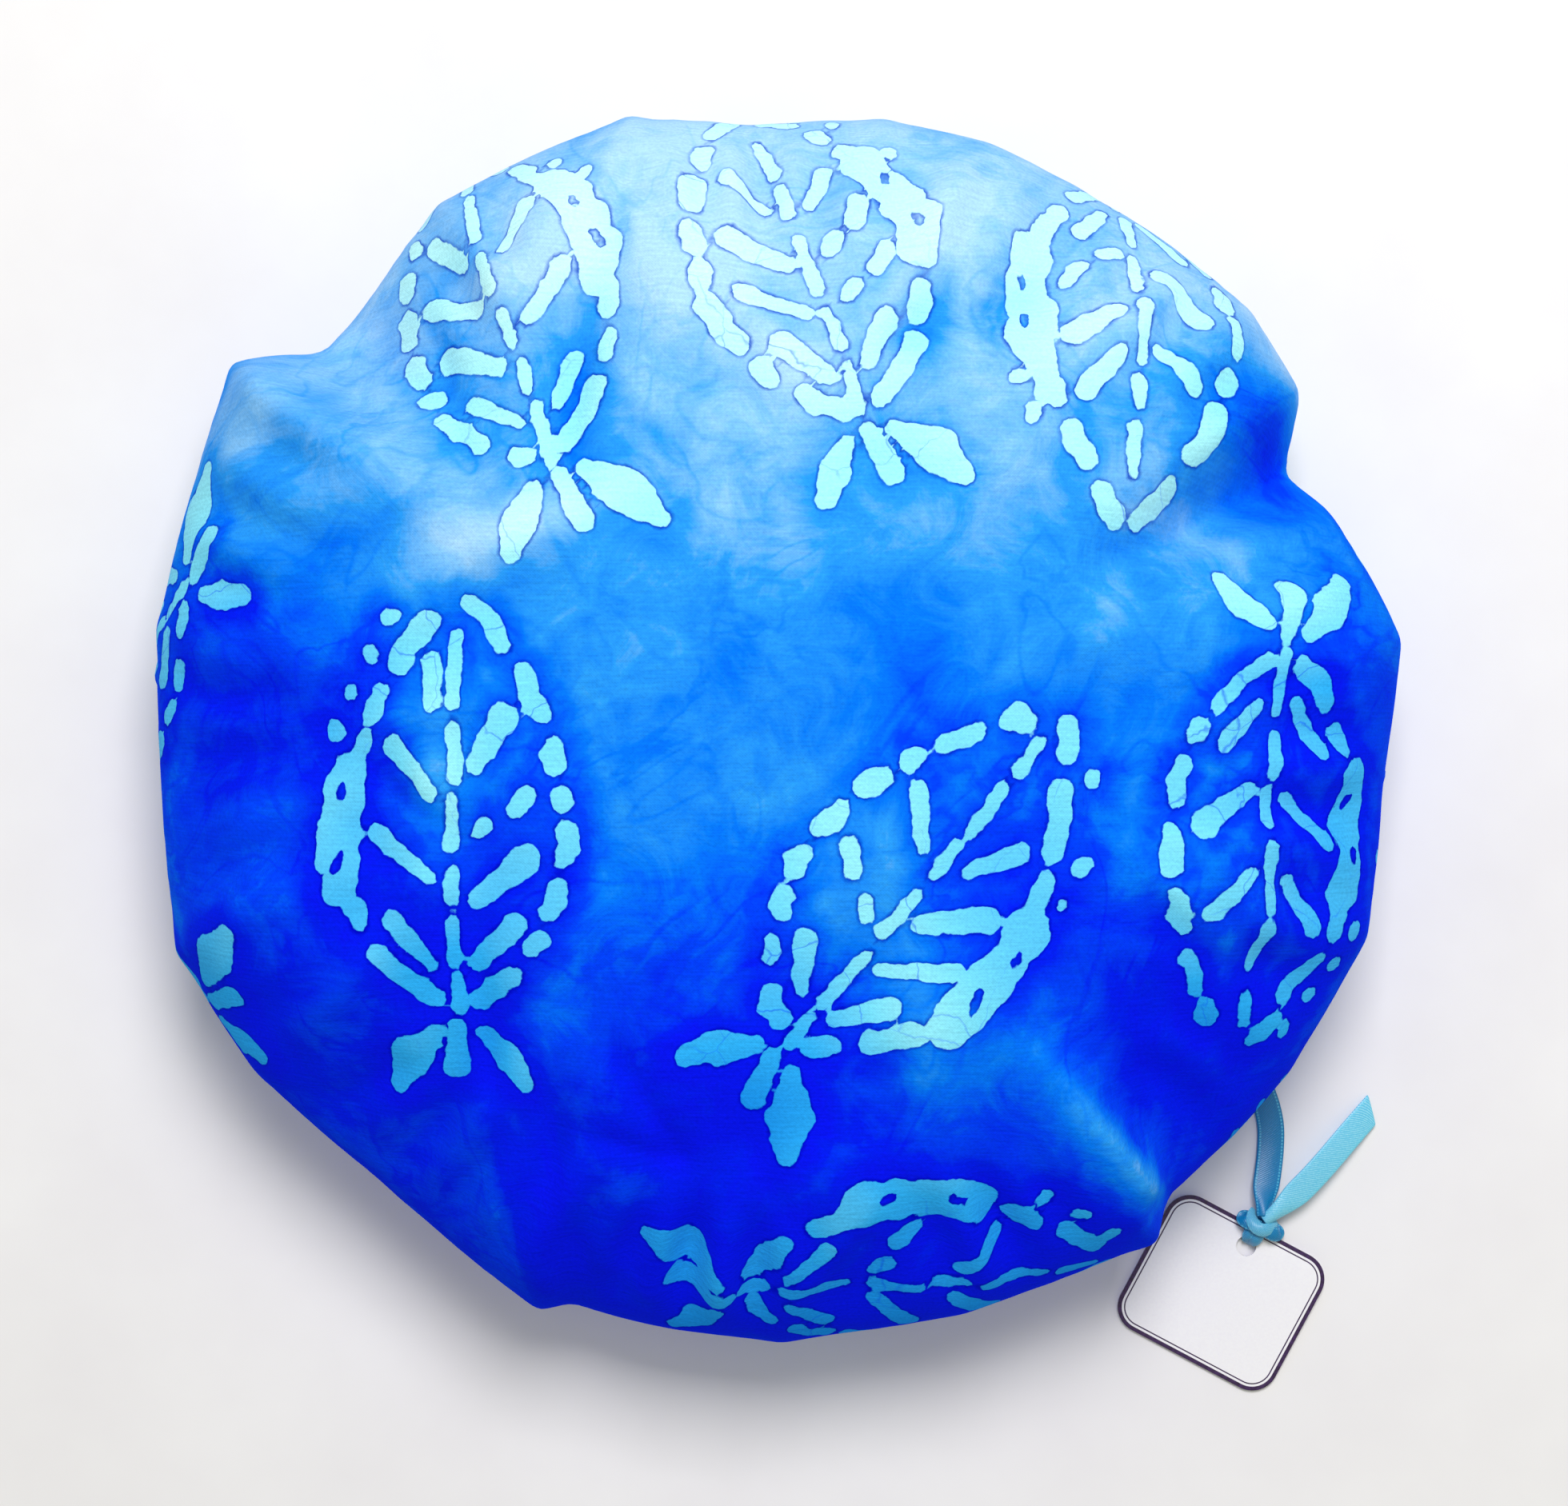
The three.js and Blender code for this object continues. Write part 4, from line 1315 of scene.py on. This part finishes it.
    def build_stitches(self) -> None:
        """Sews two rows of stitches through the lower lip of the casing and one through the upper."""
        work = bmesh.new()
        length = self.stitch_share * self.stitch
        size = Matrix.Diagonal((self.thread * MM, length * MM, self.thread_height * MM, 1))
        outer, inner = self.rows
        for radius, level in ((outer, 0.13), (inner, 0.13), (outer, self.casing_top + 0.1)):
            count = round(FULL_TURN * radius / self.stitch)
            for i in range(count):
                angle = FULL_TURN * i / count
                height = level + self.pucker * self.gather(angle, radius)
                place = Matrix.Rotation(angle, 4, "Z") @ Matrix.Translation((radius * MM, 0, height * MM))
                bmesh.ops.create_uvsphere(work, u_segments=6, v_segments=5, radius=0.5, matrix=place @ size)
        # Spun polyester thread: small, softly shining grains of one colour.
        finish = SmoothStock("spun_thread", "8FD2F4", "4FA0D8", grain=0.4, roughness=0.6)
        thread = finish_mesh("casing_stitches", work, [finish.make()])
        enlist(thread, Body.CAP, Slot.TAPE)


@dataclass
class RibbonTie:
    """Satin ribbon from the casing through the tag's hole, with its knot and free end. Sizes in mm."""

    width: float = 6.2
    thickness: float = 0.4
    run: tuple[Point, ...] = (
        (69.5, -43.5, 1.35), (71.5, -44.7, 1.35), (74.6, -46.6, 1.25), (78.4, -49.2, 0.8), (83.5, -53, 0.45),
        (89.5, -57.8, 0.4), (95.6, -63.2, 0.4), (101.4, -69.2, 0.4), (106.4, -75.8, 0.4), (110.1, -82.6, 0.4),
        (111.9, -89.2, 0.45), (111.9, -95.2, 0.8), (111.2, -100.6, 1.6), (110.4, -104.8, 2.6),
        (109.9, -107.9, 3.5), (109.6, -110.2, 4.0))
    tail: tuple[Point, ...] = (
        (110.0, -110.9, 4.0), (112.1, -109.2, 4.5), (115.2, -106.6, 4.7), (119.3, -102.8, 4.6),
        (123.5, -98.4, 4.2), (128.2, -93.2, 3.2), (131.6, -89.6, 2.0), (134.9, -86.2, 0.8))
    exit: Point = (71.5, -44.7, 1.35)
    # Place of the tag's hole and turn of the tag in degrees; the knot's points are about that hole.
    hole: tuple[float, float] = (106.3, -117.1)
    turn: float = -28.0
    # Strands through the hole: shift to the side, lean, and lift over the first.
    strands: tuple[Point, ...] = ((-0.5, -0.25, 0.0), (0.45, 0.2, 0.35))
    bight: tuple[Point, ...] = (
        (0, 0.6, 0.34), (0, 2.4, 0.32), (0, 4.6, 0.32), (0, 6.6, 0.5), (0, 7.3, 1.6), (0, 6.9, 2.9))
    lobes: tuple[tuple[Point, ...], ...] = (
        ((0.4, 5.6, 3.6), (-1.4, 5.2, 4.0), (-3.0, 5.1, 3.8), (-4.0, 5.3, 3.1), (-3.7, 5.8, 2.4),
         (-2.2, 6.4, 2.2)),
        ((0.2, 5.8, 3.5), (1.9, 5.4, 3.9), (3.6, 5.4, 3.8), (4.7, 5.8, 3.1), (4.4, 6.3, 2.4),
         (2.8, 6.8, 2.2)))
    band: tuple[Point, ...] = (
        (-2.3, 7.9, 2.2), (-2.5, 6.9, 3.3), (-1.9, 5.7, 4.4), (-0.5, 5.0, 5.0), (1.0, 5.2, 5.0),
        (2.1, 6.1, 4.4), (2.5, 7.2, 3.4), (2.2, 8.0, 2.4))
    # Slant of the tail's cut end.
    cut: float = -1.9

    def strip(self, work: bmesh.types.BMesh, route: np.ndarray, widths: np.ndarray, arch: np.ndarray,
              tilt: np.ndarray, slant: float = 0.0, face: float = 0.0, across: int = 8) -> None:
        """Extrudes a flat ribbon along a route.

        Args:
            work: The bmesh that takes it, with laid_mm on its vertices.
            route: Points of its middle, in metres.
            widths: Its width at each point.
            arch: Rise of its middle over its edges at each point.
            tilt: Turn about the route at each point, in radians.
            slant: How far its cut end runs out at one edge.
            face: 1 for the painted-lit satin, 0 for the painted-shade satin, and shares between.
            across: Faces across its width.
        """
        laid = work.verts.layers.float_vector["laid_mm"]
        ahead = np.gradient(route, axis=0)
        ahead /= np.linalg.norm(ahead, axis=1)[:, None]
        length = np.concatenate([[0], np.cumsum(np.linalg.norm(np.diff(route, axis=0), axis=1))])
        runs_out = slant * MM * ease(length, length[-1] - self.width * MM, length[-1])
        shares = [2 * j / across - 1 for j in range(across + 1)]
        row: list[bmesh.types.BMVert] = []
        for i, point in enumerate(route):
            forward = Vector(ahead[i])
            side = forward.cross(Vector((0, 0, 1))).normalized()
            side.rotate(Matrix.Rotation(tilt[i], 3, forward))
            up = side.cross(forward).normalized()
            places = []
            for share in shares:
                aside, rise = share * widths[i] / 2 * MM, arch[i] * (1 - share * share) * MM
                further = share * float(runs_out[i])
                places.append(Vector(point) + side * aside + up * rise + forward * further)
            if not row:
                row = [work.verts.new(place) for place in places]
                for a, b in zip(row[:-1], row[1:]):
                    work.edges.new((a, b))
            else:
                edges = [next(e for e in a.link_edges if b in e.verts) for a, b in zip(row[:-1], row[1:])]
                made = bmesh.ops.extrude_edge_only(work, edges=edges)["geom"]
                fresh = [v for v in made if isinstance(v, bmesh.types.BMVert)]
                row = [min(fresh, key=lambda v, old=old: (v.co - old.co).length_squared) for old in row]
                for vert, place in zip(row, places):
                    vert.co = place
            for vert, share in zip(row, shares):
                vert[laid] = (length[i] / MM, share * self.width / 2, face)

    def piece(self, name: str, work: bmesh.types.BMesh, satin: bpy.types.Material,
              node: str) -> bpy.types.Object:
        """Gives strips the ribbon's thickness and rounds their edges.

        Args:
            name: Name of the piece.
            work: Its strips.
            satin: The ribbon's finish.
            node: CAD node that it replaces.

        Returns:
            The piece, riding on the ribbon's body.
        """
        made = finish_mesh(name, work, [satin])
        wall = made.modifiers.new("thickness", "SOLIDIFY")
        wall.thickness = self.thickness * MM
        wall.offset = 0.0
        rounder = made.modifiers.new("rounded", "SUBSURF")
        rounder.levels = rounder.render_levels = 1
        return enlist(made, Body.RIBBON, Slot.SATIN, node)

    def path(self, points: Sequence[Point], count: int) -> np.ndarray:
        """Smooth route through points about the tag's hole.

        Args:
            points: Points in the turned tag's own directions.
            count: Number of points wanted.

        Returns:
            Points of the frame, in metres.
        """
        cos, sin = math.cos(math.radians(self.turn)), math.sin(math.radians(self.turn))
        at_x, at_y = self.hole
        placed = [(at_x + x * cos - y * sin, at_y + x * sin + y * cos, z) for x, y, z in points]
        return smooth_route(placed, count)

    def blank(self) -> bmesh.types.BMesh:
        """Starts strips of ribbon.

        Returns:
            A bmesh with the ribbon's own map.
        """
        work = bmesh.new()
        work.verts.layers.float_vector.new("laid_mm")
        return work

    def build(self, tag: bpy.types.Object) -> None:
        """Args:
            tag: The swing tag, which hangs on the ribbon; not used.
        """
        satin = SatinRibbon().make()
        # The run keeps the painted-shade satin; the tail takes the painted-lit one.
        route = smooth_route(self.run, 72)
        pinch = ease(np.linspace(0, 1, len(route)), 0.91, 1.0)
        work = self.blank()
        self.strip(work, route, self.width * (1 - 0.52 * pinch), 0.25 + 1.1 * pinch, -0.05 - 0.2 * pinch)
        run = self.piece("satin_run", work, satin, "ribbon_run")

        end = smooth_route(self.tail, 44)
        pinch = 1 - ease(np.linspace(0, 1, len(end)), 0.0, 0.3)
        work = self.blank()
        self.strip(work, end, self.width * (1 - 0.5 * pinch), 0.2 + 1.0 * pinch, 0.1 + 0.22 * pinch,
                   slant=self.cut, face=1.0)
        tail = self.piece("satin_tail", work, satin, "ribbon_tail")

        knot = self.piece("satin_knot", self.knot(), satin, "ribbon_knot")

    def knot(self) -> bmesh.types.BMesh:
        """Ties the ribbon: strands through the hole, a bight under the card, two lobes and a band.

        Returns:
            The knot's strips. They leave the card room to turn.
        """
        work = self.blank()
        open_out = ease(np.linspace(0, 1, 26), 0.25, 0.6)
        # The strands take a little of the painted-lit satin and the band more, by their face share.
        for shift, lean, lift in self.strands:
            strand = [(shift, 0.9, 0.3), (shift, 1.15, 1.2), (shift * 1.3, 1.5, 2.0 + lift),
                      (shift * 1.8, 2.3, 2.75 + lift), (shift * 1.6, 3.8, 3.1 + lift),
                      (shift, 5.6, 3.3 + lift)]
            self.strip(work, self.path(strand, len(open_out)), 2.2 + 0.9 * open_out, 0.35 + 0.45 * open_out,
                       lean * open_out, face=0.2)
        bight = self.path(self.bight, 22)
        self.strip(work, bight, np.full(22, 2.8), np.full(22, 0.1), np.zeros(22))
        belly = np.sin(np.pi * np.linspace(0, 1, 30))
        for lobe in self.lobes:
            self.strip(work, self.path(lobe, len(belly)), 2.5 + 0.8 * belly, 0.35 + 0.3 * belly, 0.12 * belly)
        along = np.linspace(-1, 1, 40)
        middle = 1 - along ** 2
        self.strip(work, self.path(self.band, len(along)), 2.3 + 0.7 * middle, 0.4 + 0.3 * middle,
                   0.3 * along, face=0.6)
        return work


@dataclass
class SwingTag:
    """White card with round corners, a punched hole and a printed border. Sizes in mm."""

    hole: tuple[float, float] = (106.3, -117.1)
    turn: float = -28.0
    width: float = 39.7
    height: float = 34.0
    corner: float = 6.0
    hole_radius: float = 2.3
    hole_edge: float = 4.9
    thickness: float = 0.6
    # Height of the card at its hole, how far its low end drops, and how far its sides curl up.
    level: float = 0.9
    drop: float = 0.7
    curl: float = 0.12
    # Printed border from the edge inwards: band, gap, fine rule, and clear margin.
    border: tuple[float, ...] = (0.9, 0.5, 0.3, 0.4)
    arc: int = 14
    side_steps: int = 8

    def rim(self, inset: float) -> list[tuple[float, float]]:
        """Outline of the card, drawn in by an inset: an arc at each corner and steps along each side.

        Args:
            inset: Distance in from the card's edge.

        Returns:
            Points about the hole, always as many.
        """
        half_x, half_y = self.width / 2 - inset, self.height / 2 - inset
        corner = max(self.corner - inset, 0.5)
        middle = self.hole_edge - self.height / 2
        points: list[tuple[float, float]] = []
        for i, (sx, sy) in enumerate(((1, 1), (-1, 1), (-1, -1), (1, -1))):
            for j in range(self.arc + 1):
                angle = math.pi / 2 * (i + j / self.arc)
                points.append((sx * (half_x - corner) + corner * math.cos(angle),
                               middle + sy * (half_y - corner) + corner * math.sin(angle)))
        outline = []
        for i, (a, b) in enumerate(zip(points, [*points[1:], points[0]])):
            steps = self.side_steps if i % (self.arc + 1) == self.arc else 1
            for k in range(steps):
                outline.append((a[0] + (b[0] - a[0]) * k / steps, a[1] + (b[1] - a[1]) * k / steps))
        return outline

    def flat_card(self) -> bmesh.types.BMesh:
        """Bridges the border's outlines and the hole, and gives the card its thickness.

        Returns:
            The card about its hole, with ink as its second material.
        """
        work = bmesh.new()
        outlines = [self.rim(inset) for inset in np.cumsum([0.0, *self.border])]
        turns = [math.atan2(y - self.hole_edge + self.height / 2, x) for x, y in outlines[0]]
        radius = self.hole_radius
        outlines.append([(radius * math.cos(turn), radius * math.sin(turn)) for turn in turns])
        loops = []
        for outline in outlines:
            ring = bmesh.ops.create_circle(work, segments=len(outline), radius=1.0)["verts"]
            for vert, point in zip(ring, outline):
                vert.co = (*point, 0)
            loops.append([e for e in work.edges if e.verts[0] in ring and e.verts[1] in ring])
        for i, (outer, inner) in enumerate(zip(loops[:-1], loops[1:])):
            for face in bmesh.ops.bridge_loops(work, edges=[*outer, *inner])["faces"]:
                face.material_index = 1 if i in (0, 2) else 0
        bmesh.ops.recalc_face_normals(work, faces=work.faces)
        if sum(f.normal.z for f in work.faces) < 0:
            bmesh.ops.reverse_faces(work, faces=work.faces)
        made = bmesh.ops.extrude_face_region(work, geom=list(work.faces))["geom"]
        fresh = {v for v in made if isinstance(v, bmesh.types.BMVert)}
        for vert in work.verts:
            vert.co.z = self.thickness if vert in fresh else 0.0
        bmesh.ops.recalc_face_normals(work, faces=work.faces)
        for face in work.faces:
            if face.normal.z < -0.5:
                face.material_index = 0
        return work

    def build(self) -> bpy.types.Object:
        """Lays the card in its place, bent by its own weight.

        Returns:
            The tag, riding on its body.
        """
        work = self.flat_card()
        low = self.hole_edge - self.height
        place = Matrix.Translation((self.hole[0] * MM, self.hole[1] * MM, 0))
        place = place @ Matrix.Rotation(math.radians(self.turn), 4, "Z")
        for vert in work.verts:
            x, y, z = vert.co
            sag = self.drop * max(0.0, y / low) ** 1.3 - self.curl * (x / self.width * 2) ** 2
            vert.co = place @ Vector((x * MM, y * MM, (z + self.level - sag) * MM))
        # Smooth white board, and offset ink that shines a little more than it.
        card = SmoothStock("calendered_card", "F4F2F7", "F0EDF4", grain=0.6, roughness=0.55).make()
        ink = SmoothStock("plum_ink", "2A1438", "4A2A66", grain=0.8, roughness=0.35).make()
        tag = finish_mesh("swing_card", work, [card, ink], recalculate=False)
        for polygon in tag.data.polygons:
            polygon.use_smooth = False
        return enlist(tag, Body.TAG, Slot.CARD, "swing_tag")


@dataclass
class Studio:
    """Camera straight above, plain pale floor and soft light from the far side. Sizes in metres."""

    eye: Point = (0.0015, -0.0053, 0.75)
    lens: float = 75.8
    floor_half: float = 6.0
    lamp: Point = (0.1, 0.56, 1.1)
    lamp_aim: Point = (0, 0, 0.03)
    lamp_size: float = 0.5
    lamp_watts: float = 12.0
    lamp_colour: str = "FFFDFF"
    sky: str = "F8FCE8"
    sky_strength: float = 0.47

    def aim_camera(self) -> None:
        """Sets the camera at the photograph's viewing angle."""
        data = bpy.data.cameras.new("camera")
        data.lens = self.lens
        camera = bpy.data.objects.new("camera", data)
        camera.location = self.eye
        bpy.context.scene.collection.objects.link(camera)
        bpy.context.scene.camera = camera

    def hang_lamp(self) -> None:
        """Hangs a soft square lamp that faces the cap."""
        data = bpy.data.lights.new("key", "AREA")
        data.size = self.lamp_size
        data.energy = self.lamp_watts
        data.color = linear(self.lamp_colour)[:3]
        lamp = bpy.data.objects.new("key", data)
        lamp.location = self.lamp
        lamp.rotation_euler = (Vector(self.lamp_aim) - Vector(self.lamp)).to_track_quat("-Z", "Y").to_euler()
        bpy.context.scene.collection.objects.link(lamp)

    def build(self) -> None:
        """Lays the floor and sets the light."""
        work = bmesh.new()
        bmesh.ops.create_grid(work, x_segments=1, y_segments=1, size=self.floor_half)
        # Matt painted board: pale, with a very faint cloudiness.
        finish = SmoothStock("pale_floor", "F1EFF3", "EBE8ED", grain=60.0, roughness=0.7)
        floor = finish_mesh("floor", work, [finish.make()], recalculate=False)
        self.hang_lamp()
        world = bpy.data.worlds.new("studio")
        world.use_nodes = True
        background = world.node_tree.nodes["Background"].inputs
        background["Color"].default_value = linear(self.sky)
        background["Strength"].default_value = self.sky_strength
        bpy.context.scene.world = world
        bpy.context.scene.view_settings.view_transform = "Standard"


def main() -> None:
    """Builds the scene in order: camera, ribbon and tag, cap, studio."""
    logging.basicConfig(level=logging.INFO, format="%(name)s: %(message)s")
    studio = Studio()
    studio.aim_camera()
    tag = SwingTag().build()
    RibbonTie().build(tag)
    Cap(GatheredCloth(CapShape()), LeafPrint(), DyeAndPaintedLight()).build()
    studio.build()


if __name__ == "__main__":
    main()
